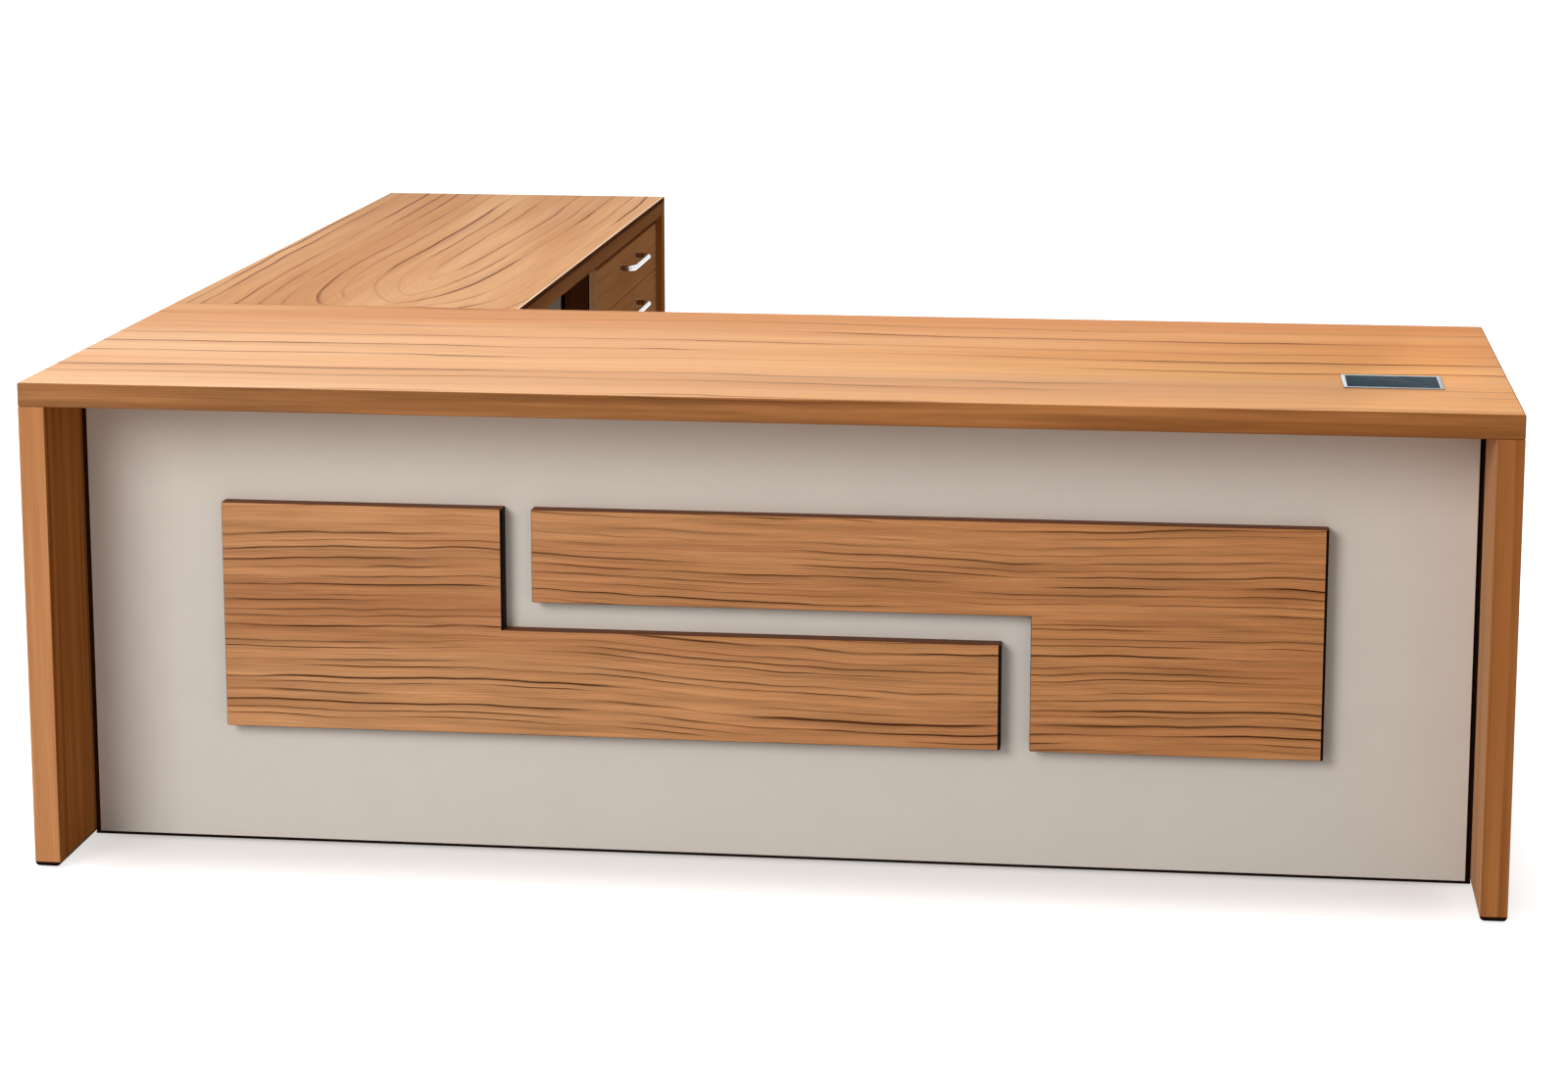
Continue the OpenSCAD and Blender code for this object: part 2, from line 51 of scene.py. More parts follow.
cameraSetup = {
    "place": (0.62903, -6.04600, 1.63112),
    "pitch": 0.1742,     # how far it looks down
    "yaw": 0.1196,       # how far it looks to the left
    "lens": 78.86,
    "sensor": 36.0,
    "shiftY": -0.1,      # the photograph's framing: its uprights stay nearly upright
}


def makeCamera(setup):
    camera = bpy.data.objects.new("camera", bpy.data.cameras.new("camera"))
    scene.collection.objects.link(camera)
    camera.location = setup["place"]
    camera.rotation_euler = (math.pi / 2 - setup["pitch"], 0, setup["yaw"])
    camera.data.sensor_width = setup["sensor"]
    camera.data.lens = setup["lens"]
    camera.data.shift_y = setup["shiftY"]
    scene.camera = camera


makeCamera(cameraSetup)


def newObject(name, shape):
    # a finished bmesh becomes an object
    mesh = bpy.data.meshes.new(name)
    shape.to_mesh(mesh)
    shape.free()
    thing = bpy.data.objects.new(name, mesh)
    scene.collection.objects.link(thing)
    return thing


# Helpers for shader and geometry trees

def screenColour(red, green, blue):
    # a colour as it looks on the screen, 0 to 255, turned into what a shader takes
    shares = [value / 255 for value in (red, green, blue)]
    return (*[s / 12.92 if s <= 0.04045 else ((s + 0.055) / 1.055) ** 2.4 for s in shares], 1.0)


def addNode(tree, kind, inputs=None, **settings):
    node = tree.nodes.new(kind)
    for name, value in settings.items():
        setattr(node, name, value)
    for key, value in (inputs or {}).items():
        if isinstance(value, bpy.types.NodeSocket):
            tree.links.new(value, node.inputs[key])
        else:
            node.inputs[key].default_value = value
    return node


def calc(tree, operation, *values, clamp=False):
    node = addNode(tree, "ShaderNodeMath", dict(enumerate(values)), operation=operation, use_clamp=clamp)
    return node.outputs[0]


def vectorCalc(tree, operation, *values):
    return addNode(tree, "ShaderNodeVectorMath", dict(enumerate(values)), operation=operation).outputs


def axisOf(tree, vector, index):
    return addNode(tree, "ShaderNodeSeparateXYZ", {"Vector": vector}).outputs[index]


def noise(tree, vector, scale, detail=2.0, roughness=0.5):
    # scale may differ along the three axes, as grain needs
    scaled = addNode(tree, "ShaderNodeMapping", {"Vector": vector, "Scale": scale}).outputs[0]
    inputs = {"Vector": scaled, "Scale": 1.0, "Detail": detail, "Roughness": roughness}
    return addNode(tree, "ShaderNodeTexNoise", inputs).outputs[0]


def remap(tree, value, low, high, newLow=0.0, newHigh=1.0):
    inputs = {"Value": value, "From Min": low, "From Max": high, "To Min": newLow, "To Max": newHigh}
    return addNode(tree, "ShaderNodeMapRange", inputs, interpolation_type="SMOOTHSTEP").outputs[0]


def ramp(tree, factor, stops):
    # stops are pairs of a position and a grey or a colour
    stops = list(stops)
    node = addNode(tree, "ShaderNodeValToRGB", {"Fac": factor})
    elements = node.color_ramp.elements
    while len(elements) < len(stops):
        elements.new(0.5)
    for element, (position, colour) in zip(elements, stops):
        element.position = position
        element.color = colour if isinstance(colour, tuple) else (colour, colour, colour, 1.0)
    return node.outputs[0]


def blend(tree, factor, first, second, how="MIX"):
    node = addNode(tree, "ShaderNodeMix", {0: factor, 6: first, 7: second}, data_type="RGBA", blend_type=how)
    return node.outputs[2]


def bump(tree, height, strength, distance):
    inputs = {"Height": height, "Strength": strength, "Distance": distance}
    return addNode(tree, "ShaderNodeBump", inputs).outputs[0]


def newFinish(name, **constants):
    material = bpy.data.materials.new(name)
    material.use_nodes = True
    tree = material.node_tree
    shader = tree.nodes["Principled BSDF"]
    for key, value in constants.items():
        shader.inputs[key.replace("_", " ")].default_value = value
    coords = addNode(tree, "ShaderNodeTexCoord").outputs["Object"]
    return material, tree, shader, coords


def connect(tree, shader, **sources):
    for key, value in sources.items():
        tree.links.new(value, shader.inputs[key.replace("_", " ")])


# Floor and light

stageSetup = {
    "floorRadius": 14.0,
    "floorSides": 96,
    "floorTone": 0.45,
    "floorRoughness": 0.9,
    # seen by camera and mirror rays only: the floor's grey under the desk, how far inside the tops' outline
    # it starts to fade, and how far it then reaches
    # the floor's grey under the desk is painted shade, and it turns white outside
    "floorGlowPaintedShade": (0.455, 0.425, 0.405, 1.0),
    "glowInset": 0.15,
    "glowReach": 0.3,
    "skyTone": (1.0, 0.985, 0.965, 1.0),
    "skyLevel": 0.44,
    # place, size, share of white that it gives on the desk
    "lamps": [
        ("keyLamp", (-3.3, -6.3, 3.5), 3.6, 0.46),
        ("topLamp", (-1.8, -1.0, 5.7), 3.4, 0.46),
        ("backLamp", (0.5, 6.0, 4.0), 3.0, 0.08),
    ],
    "aim": (0.0, -0.3, 0.5),
}


def distanceOutside(tree, coords, low, high, inset):
    # how far a point of the floor lies outside a rectangle that is made smaller by inset
    middle = ((low[0] + high[0]) / 2, (low[1] + high[1]) / 2, 0.0)
    halfSize = ((high[0] - low[0]) / 2 - inset, (high[1] - low[1]) / 2 - inset, 1.0)
    step = vectorCalc(tree, "SUBTRACT", coords, middle)[0]
    step = vectorCalc(tree, "ABSOLUTE", step)[0]
    step = vectorCalc(tree, "SUBTRACT", step, halfSize)[0]
    step = vectorCalc(tree, "MAXIMUM", step)[0]
    return vectorCalc(tree, "LENGTH", step)["Value"]


def seenBy(tree, first, *others):
    # 1 for these kinds of ray, 0 for all others
    path = addNode(tree, "ShaderNodeLightPath").outputs
    seen = path[first]
    for kind in others:
        seen = calc(tree, "MAXIMUM", seen, path[kind])
    return seen


def makeFloor(setup):
    shape = bmesh.new()
    bmesh.ops.create_circle(shape, cap_ends=True, segments=setup["floorSides"], radius=setup["floorRadius"])
    floor = newObject("floor", shape)
    tone = setup["floorTone"]
    material, tree, shader, coords = newFinish("paleFloor", Base_Color=(tone, tone, tone, 1.0),
        Roughness=setup["floorRoughness"], Specular_IOR_Level=0.0)
    # outside both tops, which stand in an L
    corner, (mainLow, mainHigh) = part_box("return_top")[1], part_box("main_top")
    away = calc(tree, "MINIMUM",
        distanceOutside(tree, coords, mainLow, mainHigh, setup["glowInset"]),
        distanceOutside(tree, coords, mainLow, corner, setup["glowInset"]))
    # grey under the desk as painted shade, white away from it
    level = remap(tree, away, 0.0, setup["glowReach"])
    colour = blend(tree, level, setup["floorGlowPaintedShade"], (1.0, 1.0, 1.0, 1.0))
    paintedShadeGlow = addNode(tree, "ShaderNodeEmission",
        {"Color": colour, "Strength": seenBy(tree, "Is Camera Ray", "Is Glossy Ray")})
    both = addNode(tree, "ShaderNodeAddShader", {0: shader.outputs[0], 1: paintedShadeGlow.outputs[0]})
    tree.links.new(both.outputs[0], tree.nodes["Material Output"].inputs["Surface"])
    floor.data.materials.append(material)


def makeSky(setup):
    world = bpy.data.worlds.new("studio")
    world.use_nodes = True
    scene.world = world
    tree = world.node_tree
    background = tree.nodes["Background"]
    seen = seenBy(tree, "Is Camera Ray", "Is Glossy Ray", "Is Transmission Ray")
    colour = blend(tree, seen, setup["skyTone"], (1.0, 1.0, 1.0, 1.0))
    strength = addNode(tree, "ShaderNodeMix", {0: seen, 2: setup["skyLevel"], 3: 1.0}).outputs[0]
    tree.links.new(colour, background.inputs["Color"])
    tree.links.new(strength, background.inputs["Strength"])


def makeLamp(name, place, size, share, aim):
    light = bpy.data.lights.new(name, "AREA")
    light.shape = "DISK"
    light.size = size
    toAim = Vector(aim) - Vector(place)
    light.energy = share * (math.pi * toAim.length) ** 2
    lamp = bpy.data.objects.new(name, light)
    scene.collection.objects.link(lamp)
    lamp.location = place
    lamp.rotation_euler = toAim.to_track_quat("-Z", "Y").to_euler()


makeFloor(stageSetup)
makeSky(stageSetup)
for lampName, lampPlace, lampSize, lampShare in stageSetup["lamps"]:
    makeLamp(lampName, lampPlace, lampSize, lampShare, stageSetup["aim"])
scene.view_settings.view_transform = "Standard"
print("desk: camera, floor and light")


# Wood finishes: a look's pattern runs along its grain axis

grainTurn = {"X": (0, 0, 0), "Y": (0, 0, -math.pi / 2), "Z": (0, math.pi / 2, 0)}

# how often each pattern changes in a metre, along the grain and across it
grainScales = {
    "wander": (0.8, 1.6),
    "ripple": (5.0, 14.0),
    "bands": (0.5, 5.0),
    "flames": (1.3, 42.0),
    "streaks": (4.0, 90.0),
    "fibres": (16.0, 620.0),
}

# what the looks below share, with lengths in metres; each then names what differs and what is its own
woodShared = {
    "spacing": 0.024,         # between two growth lines
    "uneven": 0.8,            # how much that changes from line to line
    "wander": 0.02,           # slow and quick bends of the lines
    "ripple": 0.002,
    "lineWidth": 0.0016,
    "lineStrength": 0.6,
    "shade": 0.6,             # the soft shade before each line
    "fineLines": 0.12,
    "faintest": 0.15,         # what is left of a line where it fades out
    "fading": (1.7, 9.0),     # how soon it does, along the grain and across it
    "streaks": 0.26,
    "roughness": 0.5,
    "sheen": 0.0,
}

woodLooks = {
    "topVeneer": {
        "along": "X", "shift": (0.3, 1.37, 0.2), "sheen": 0.02,
        "spacing": 0.1, "uneven": 0.7, "wander": 0.07, "ripple": 0.014, "lineWidth": 0.0155, "flames": 0.35,
        "pale": (246, 192, 140), "warm": (219, 151, 95), "line": (104, 52, 22),
        "lean": {"middle": 0.57, "paintedLightSlope": 0.9, "bands": 0.5},
        "lineStrength": 1.5, "shade": 0.2, "fineLines": 0.07,
    },
    "returnVeneer": {
        "along": "Y", "shift": (0.15, 0.0, 0.2), "sheen": 0.02,
        "spacing": 0.036, "wander": 0.03, "ripple": 0.004, "lineWidth": 0.008, "flames": 0.35,
        "arch": {"middle": 1.67, "round": 0.016, "height": 0.09, "start": -0.2, "length": 0.2, "reach": 0.16},
        "pale": (227, 169, 114), "warm": (204, 141, 86), "line": (120, 60, 26),
        "lineStrength": 1.8, "shade": 0.2, "fineLines": 0.07, "faintest": 0.12,
    },
    # a painted highlight: a pale wood for the lit arris of the return top
    "arrisPaintedHighlight": {
        "along": "Y", "shift": (0.2, 0.31, 0.013), "sheen": 0.02,
        "spacing": 0.017, "ripple": 0.0015, "flames": 0.6,
        "pale": (255, 222, 184), "warm": (246, 204, 160), "line": (190, 130, 84),
        "lineStrength": 0.4, "shade": 0.3, "fineLines": 0.1, "streaks": 0.2,
    },
    "edgeVeneerX": {
        "along": "X", "shift": (11.7, 0.05, 0.013),
        "ripple": 0.003, "flames": 3.2,
        "pale": (171, 112, 64), "warm": (140, 87, 47), "line": (74, 36, 18),
        "lean": {"middle": 0.0, "paintedLightSlope": 0.0, "bands": 0.3},
        "lineStrength": 0.7, "shade": 0.45, "streaks": 1.1,
    },
    "edgeVeneerY": {
        "along": "Y", "shift": (0.2, 0.31, 0.013),
        "spacing": 0.017, "ripple": 0.0015, "flames": 0.6,
        "pale": (172, 114, 70), "warm": (142, 91, 55), "line": (84, 42, 22),
        "lineStrength": 0.8,
    },
    "slabVeneer": {
        "along": "Z", "shift": (0.4, 0.05, 0.009),
        "wander": 0.03, "flames": 0.8,
        "pale": (204, 142, 93), "warm": (180, 116, 71), "line": (106, 54, 26),
    },
    # painted shade: a darker copy of the slab veneer for inner faces
    "innerPaintedShade": {
        "along": "Z", "shift": (0.4, 0.35, 0.009),
        "spacing": 0.036, "wander": 0.03, "lineWidth": 0.002, "flames": 0.7,
        "pale": (198, 127, 64), "warm": (160, 98, 48), "line": (70, 34, 14),
        "lineStrength": 0.5, "fineLines": 0.1,
    },
    "plateVeneer": {
        "along": "X", "shift": (0.2, 0.2, 0.02), "fading": (3.2, 34.0), "faintest": 0.0,
        "spacing": 0.0135, "uneven": 0.7, "wander": 0.05, "ripple": 0.008, "lineWidth": 0.0031, "flames": 0.6,
        "pale": (210, 146, 95), "warm": (188, 123, 77), "line": (62, 30, 12),
        "lineStrength": 1.9, "shade": 0.35, "fineLines": 0.3, "streaks": 1.0,
    },
    "frontVeneer": {
        "along": "Y", "shift": (0.5, 0.2, 0.03),
        "uneven": 0.7, "wander": 0.03, "ripple": 0.0025, "flames": 0.5,
        "pale": (192, 132, 82), "warm": (166, 106, 62), "line": (100, 54, 28),
        "lineStrength": 0.15, "shade": 0.2, "fineLines": 0.08, "streaks": 0.4, "faintest": 0.2,
    },
    # dark brown that paints deep shade on the stile, the rails and the band under the return's arris; the
    # plinth has it too
    "darkWoodPaintedShade": {
        "along": "Z", "shift": (0.1, 0.2, 0.05), "roughness": 0.55,
        "spacing": 0.018, "lineWidth": 0.0014, "flames": 0.4,
        "pale": (112, 68, 42), "warm": (92, 54, 32), "line": (44, 26, 16),
        "shade": 0.4, "fineLines": 0.2, "faintest": 0.2,
    },
    "boxBoard": {
        "along": "X", "shift": (0.1, 0.2, 0.05), "roughness": 0.6, "sheen": 0.1,
        "spacing": 0.03, "lineWidth": 0.0014, "flames": 0.4,
        "pale": (222, 208, 184), "warm": (210, 193, 166), "line": (178, 158, 130),
        "lineStrength": 0.5, "shade": 0.4, "fineLines": 0.2, "faintest": 0.2,
    },
}
# the arris highlight again, for the near edge of each drawer front: a painted highlight
woodLooks["bandPaintedHighlight"] = {**woodLooks["arrisPaintedHighlight"], "along": "Z", "sheen": 0.0,
    "pale": (255, 203, 160), "warm": (248, 188, 142)}
# painted light: a paler copy of the inner veneer
woodLooks["innerPaintedLight"] = {**woodLooks["innerPaintedShade"], "pale": (208, 160, 118), "warm": (192, 142, 102),
    "line": (130, 84, 52)}

# what some veneers are multiplied with at the desk's left and right end: painted light and shade, paler at
# the left
paintedLightReach = 1.1
topPaintedLight = ((0.94, 1.0, 1.17, 1.0), (0.95, 0.84, 0.66, 1.0))
paintedLightDrift = {
    "topVeneer": topPaintedLight,
    "returnVeneer": topPaintedLight,
    "arrisPaintedHighlight": topPaintedLight,
    "edgeVeneerX": ((1.04, 1.14, 1.36, 1.0), (1.08, 1.04, 0.98, 1.0)),
    "slabVeneer": ((1.0, 1.0, 1.0, 1.0), (0.85, 0.74, 0.54, 1.0)),
    "plateVeneer": ((1.06, 1.18, 1.34, 1.0), (0.95, 0.93, 0.88, 1.0)),
}

# the same for every wood
woodDetail = {
    "weakestLine": 0.25,             # of a line's full strength
    "fadeBetween": (0.36, 0.62),     # the part of a noise that is stretched to its full range
    "bandsBetween": (0.3, 0.7),
    "unevenStretch": 1.7,            # in spacings: how soon the lines crowd and spread
    "finePerLine": 5.3,
    "fibreTone": 0.14,
    "glossSpread": 0.12,
    "lineDepth": 0.2,
    "bump": 0.12,
    "bumpHeight": 0.0004,
}


def grainNoise(tree, grain, scales, detail=2.0, roughness=0.5):
    along, across = scales
    return noise(tree, grain, (along, across, across), detail, roughness)


def ringField(tree, grain, look):
    # how many growth lines lie between this point and the heart of the log
    parts = addNode(tree, "ShaderNodeSeparateXYZ", {"Vector": grain}).outputs
    across = calc(tree, "ADD", parts[2], parts[1])
    for kind in ("wander", "ripple"):
        bend = calc(tree, "SUBTRACT", grainNoise(tree, grain, grainScales[kind]), 0.5)
        across = calc(tree, "MULTIPLY_ADD", bend, look[kind] * 2, across)
    if "arch" in look:
        # nested arches with their tips near start, that run out into straight lines
        arch = look["arch"]
        side = calc(tree, "SUBTRACT", across, arch["middle"])
        square = calc(tree, "MULTIPLY", side, side)
        fall = calc(tree, "MULTIPLY_ADD", parts[0], -1 / arch["length"], arch["start"] / arch["length"])
        fall = calc(tree, "MULTIPLY_ADD", square, -1 / arch["reach"] ** 2, fall)
        bowed = calc(tree, "SQRT", calc(tree, "ADD", square, arch["round"] ** 2))
        across = calc(tree, "MULTIPLY_ADD", calc(tree, "EXPONENT", fall), arch["height"], bowed)
    stretch = calc(tree, "DIVIDE", across, look["spacing"] * woodDetail["unevenStretch"])
    unevenly = addNode(tree, "ShaderNodeTexNoise", {"W": stretch, "Scale": 1.0, "Detail": 1.0},
        noise_dimensions="1D").outputs[0]
    count = calc(tree, "DIVIDE", across, look["spacing"])
    return calc(tree, "MULTIPLY_ADD", unevenly, look["uneven"] * 2, count)


def lineProfile(tree, rings, stops):
    # stops say how dark the wood is from one growth line, at 0, to the next, at 1
    return ramp(tree, calc(tree, "FRACT", rings), stops)


def lineStrength(tree, grain, rings, look):
    # each line has a strength of its own, and fades out here and there
    each = addNode(tree, "ShaderNodeTexWhiteNoise", {"W": calc(tree, "FLOOR", rings)}, noise_dimensions="1D")
    weakest = woodDetail["weakestLine"]
    strength = calc(tree, "MULTIPLY_ADD", each.outputs["Value"], 1 - weakest, weakest)
    fading = grainNoise(tree, grain, look["fading"])
    fading = remap(tree, fading, *woodDetail["fadeBetween"], look["faintest"], 1.0)
    return calc(tree, "MULTIPLY", strength, fading)


def colourBands(tree, grain, look):
    # 0 where the wood is pale, 1 where it is warm
    between = woodDetail["bandsBetween"]
    bands = remap(tree, grainNoise(tree, grain, grainScales["bands"], 3.0), *between)
    flames = remap(tree, grainNoise(tree, grain, grainScales["flames"]), *between, -0.5, 0.5)
    bands = calc(tree, "MULTIPLY_ADD", flames, look["flames"], bands)
    if "lean" in look:
        # calmer bands, and painted light: paler at the visitor's edge, warmer away from it
        lean = look["lean"]
        offset = calc(tree, "SUBTRACT", axisOf(tree, grain, 1), lean["middle"])
        bands = calc(tree, "MULTIPLY_ADD", bands, lean["bands"], 0.5 - lean["bands"] / 2)
        bands = calc(tree, "MULTIPLY_ADD", offset, lean["paintedLightSlope"], bands)
    return calc(tree, "MAXIMUM", bands, 0.0, clamp=True)


def makeWood(name, look):
    material, tree, shader, coords = newFinish(name, Specular_IOR_Level=look["sheen"])
    grain = addNode(tree, "ShaderNodeMapping",
        {"Vector": coords, "Location": look["shift"], "Rotation": grainTurn[look["along"]]}).outputs[0]
    pale, warm, dark = [screenColour(*look[key]) for key in ("pale", "warm", "line")]
    rings = ringField(tree, grain, look)
    strength = lineStrength(tree, grain, rings, look)
    width = look["lineWidth"] / look["spacing"] / 3
    sharp = lineProfile(tree, rings, [(0.0, 0.8), (width, 0.0), (1 - 2 * width, 0.0), (1.0, 1.0)])
    soft = lineProfile(tree, rings, [(0.0, 0.5), (0.12, 0.0), (0.5, 0.0), (1.0, 1.0)])
    finer = calc(tree, "MULTIPLY", rings, woodDetail["finePerLine"])
    fine = lineProfile(tree, finer, [(0.0, 0.6), (0.2, 0.0), (0.6, 0.0), (1.0, 1.0)])
    streaks = grainNoise(tree, grain, grainScales["streaks"], 3.0, 0.6)
    fibres = grainNoise(tree, grain, grainScales["fibres"])

    colour = blend(tree, colourBands(tree, grain, look), pale, warm)
    shade = calc(tree, "MULTIPLY", calc(tree, "MULTIPLY", soft, strength), look["shade"])
    colour = blend(tree, shade, colour, dark)
    colour = blend(tree, calc(tree, "MULTIPLY", fine, look["fineLines"]), colour, dark)
    line = calc(tree, "MULTIPLY", calc(tree, "MULTIPLY", sharp, strength), look["lineStrength"], clamp=True)
    colour = blend(tree, line, colour, dark)
    tone = calc(tree, "MULTIPLY_ADD", streaks, look["streaks"], 1 - look["streaks"] / 2)
    spread = woodDetail["fibreTone"]
    tone = calc(tree, "MULTIPLY", tone, calc(tree, "MULTIPLY_ADD", fibres, spread, 1 - spread / 2))
    tint = addNode(tree, "ShaderNodeCombineXYZ", {0: tone, 1: tone, 2: tone}).outputs[0]
    colour = blend(tree, 1.0, colour, tint, "MULTIPLY")
    # painted light and shade that change from the desk's left end to its right
    if name in paintedLightDrift:
        side = remap(tree, axisOf(tree, coords, 0), -paintedLightReach, paintedLightReach)
        colour = blend(tree, 1.0, colour, blend(tree, side, *paintedLightDrift[name]), "MULTIPLY")

    spread = woodDetail["glossSpread"]
    gloss = calc(tree, "MULTIPLY_ADD", streaks, spread, look["roughness"] - spread / 2)
    height = calc(tree, "SUBTRACT", fibres, calc(tree, "MULTIPLY", line, woodDetail["lineDepth"]))
    relief = bump(tree, height, woodDetail["bump"], woodDetail["bumpHeight"])
    connect(tree, shader, Base_Color=colour, Roughness=gloss, Normal=relief)
    return material


finishes = {name: makeWood(name, {**woodShared, **look}) for name, look in woodLooks.items()}
print("desk: wood finishes")


# Board, plastic and metal finishes

plainLooks = {
    # colour, how much it varies, grain per metre, roughness, bump, metal, share of a plastic's mirror light
    "greigeBoard": ((223, 214, 204), 0.02, 900, 0.6, 0.06, 0.0, 0.1),
    # black of the trim strips, also used as painted shade in gaps, at the feet and at far ends
    "blackTrimAndPaintedShade": ((26, 12, 8), 0.3, 700, 0.6, 0.1, 0.0, 0.03),
    # painted shade: the brown beside the left slab
    "paintedShadeTrim": ((60, 35, 20), 0.3, 700, 0.6, 0.1, 0.0, 0.05),
    "plateEdge": ((18, 10, 7), 0.3, 500, 0.5, 0.1, 0.0, 0.03),
    "plateRim": ((104, 62, 36), 0.2, 500, 0.5, 0.1, 0.0, 0.06),
    "glidePlastic": ((34, 28, 25), 0.2, 1200, 0.5, 0.15, 0.0, 0.2),
    "zincSteel": ((178, 182, 186), 0.14, 260, 0.38, 0.08, 1.0, 0.5),
    "chrome": ((216, 219, 222), 0.03, 300, 0.08, 0.0, 1.0, 0.5),
    # the handle posts and rings: chrome painted dark, a painted reflection
    "postPaintedReflection": ((136, 102, 74), 0.12, 400, 0.3, 0.03, 1.0, 0.5),
    "rimMetal": ((132, 138, 144), 0.06, 400, 0.3, 0.03, 1.0, 0.5),
    "lidGloss": ((12, 40, 54), 0.3, 60, 0.3, 0.0, 0.0, 0.003),
    "boxPlastic": ((30, 31, 33), 0.15, 1500, 0.48, 0.2, 0.0, 0.4),
    "socketPlastic": ((46, 48, 51), 0.12, 1500, 0.4, 0.15, 0.0, 0.4),
}

plainDetail = {
    "patch": 60,            # how much larger the broad patches are than the fine grain
    "fineShare": 0.4,
    "between": (0.3, 0.7),
    "glossSpread": 0.2,
    "bumpHeight": 0.0003,
}


def makePlain(name, colour, vary, grainScale, roughness, bumpiness, metal, sheen):
    material, tree, shader, coords = newFinish(name, Metallic=metal, Specular_IOR_Level=sheen)
    fine = noise(tree, coords, (grainScale,) * 3, 3.0, 0.6)
    broad = noise(tree, coords, (grainScale / plainDetail["patch"],) * 3, 3.0)
    share = plainDetail["fineShare"]
    mottle = calc(tree, "ADD", calc(tree, "MULTIPLY", fine, share), calc(tree, "MULTIPLY", broad, 1 - share))
    full = screenColour(*colour)[:3]
    low = (*[channel * (1 - vary) for channel in full], 1.0)
    high = (*[min(1.0, channel * (1 + vary)) for channel in full], 1.0)
    tone = ramp(tree, mottle, zip(plainDetail["between"], (low, high)))
    spread = plainDetail["glossSpread"]
    gloss = calc(tree, "MULTIPLY_ADD", broad, spread, roughness - spread / 2, clamp=True)
    connect(tree, shader, Base_Color=tone, Roughness=gloss)
    if bumpiness:
        connect(tree, shader, Normal=bump(tree, fine, bumpiness, plainDetail["bumpHeight"]))
    return material


finishes.update({name: makePlain(name, *look) for name, look in plainLooks.items()})
print("desk: other finishes")


# Helpers for meshes

touch = 1e-6      # points closer than this are one point
facing = 0.7      # a face looks along an axis when its normal has more than this along it
flatAngle = math.radians(0.5)     # triangles that meet at less than this lie in one plane
easeAngle = math.radians(40)      # edges sharper than this are eased
smoothAngle = math.radians(35)    # and on round pieces, edges sharper than this stay sharp
drawerNumbers = (1, 2, 3)


def newPiece(name, shape, materials):
    bmesh.ops.recalc_face_normals(shape, faces=shape.faces)
    piece = newObject(name, shape)
    for material in materials:
        piece.data.materials.append(finishes[material])
    return piece


def place(piece, body, slot, *nodes):
    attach(piece, body)
    if nodes:
        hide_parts(*nodes)


def easeEdges(piece, radius, segments=3, weighted=False):
    for polygon in piece.data.polygons:
        polygon.use_smooth = True
    modifier = piece.modifiers.new("easedEdges", "BEVEL")
    modifier.width = radius
    modifier.segments = segments
    modifier.limit_method = "WEIGHT" if weighted else "ANGLE"
    modifier.angle_limit = easeAngle
    modifier.harden_normals = True


axisOrder = {"X": (1, 2, 0), "Y": (0, 2, 1), "Z": (0, 1, 2)}


def addPrism(shape, outline, axis, start, end):
    # an outline in the two other axes, drawn out along one axis
    first, second, third = axisOrder[axis]
    loops = []
    for depth in (start, end):
        loop = []
        for a, b in outline:
            point = [0.0, 0.0, 0.0]
            point[first], point[second], point[third] = a, b, depth
            loop.append(shape.verts.new(point))
        loops.append(loop)
        shape.faces.new(loop)
    near, far = loops
    for i in range(len(outline)):
        j = (i + 1) % len(outline)
        shape.faces.new((near[i], near[j], far[j], far[i]))


def addBoard(shape, low, high):
    outline = [(low[0], low[1]), (high[0], low[1]), (high[0], high[1]), (low[0], high[1])]
    addPrism(shape, outline, "Z", low[2], high[2])


def paintByNormal(piece, rule):
    # rule gives the material's number for a face's outward normal
    for polygon in piece.data.polygons:
        polygon.material_index = rule(polygon.normal)


def cutShape(shape, point, normal):
    # new edges where a plane meets the shape, so that parts of a face can differ in finish
    bmesh.ops.bisect_plane(shape, geom=[*shape.verts, *shape.edges, *shape.faces], dist=touch,
        plane_co=point, plane_no=normal)


def cutAlong(piece, point, normal):
    shape = bmesh.new()
    shape.from_mesh(piece.data)
    cutShape(shape, point, normal)
    shape.to_mesh(piece.data)
    shape.free()


def boardPiece(name, node, materials, radius, rule=None):
    low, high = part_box(node)
    shape = bmesh.new()
    addBoard(shape, low, high)
    piece = newPiece(name, shape, materials)
    if rule:
        paintByNormal(piece, rule)
    easeEdges(piece, radius)
    return piece


def cadShape(node):
    # a CAD node's own loose triangles, merged
    shape = bmesh.new()
    shape.from_mesh(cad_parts[node].data)
    bmesh.ops.remove_doubles(shape, verts=shape.verts, dist=touch)
    return shape


def easedCopy(name, node, material, radius, segments=2):
    shape = cadShape(node)
    bmesh.ops.dissolve_limit(shape, angle_limit=flatAngle, verts=shape.verts, edges=shape.edges)
    for face in shape.faces:
        face.material_index = 0
    piece = newPiece(name, shape, [material])
    easeEdges(piece, radius, segments)
    return piece


# The two tops

topSetup = {"ease": 0.0022, "edgeSegments": 4, "sharpAngle": 0.5}
returnSetup = {"arris": 0.0045, "shade": 0.009, "paintedShadeEnd": 0.012}


def edgeRule(normal):
    # 0 on the upper and lower face, 1 on edges along X, 2 on edges along Y
    if abs(normal.z) > facing:
        return 0
    return 1 if abs(normal.y) > facing else 2


def cutOut(low, high):
    # the cut-out's corners are the only points of the upper face that lie inside its outline
    inside = [v.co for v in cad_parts["main_top"].data.vertices if v.co.z > high.z - touch
        and low.x + touch < v.co.x < high.x - touch and low.y + touch < v.co.y < high.y - touch]
    xs = [point.x for point in inside]
    ys = [point.y for point in inside]
    return min(xs), max(xs), min(ys), max(ys)


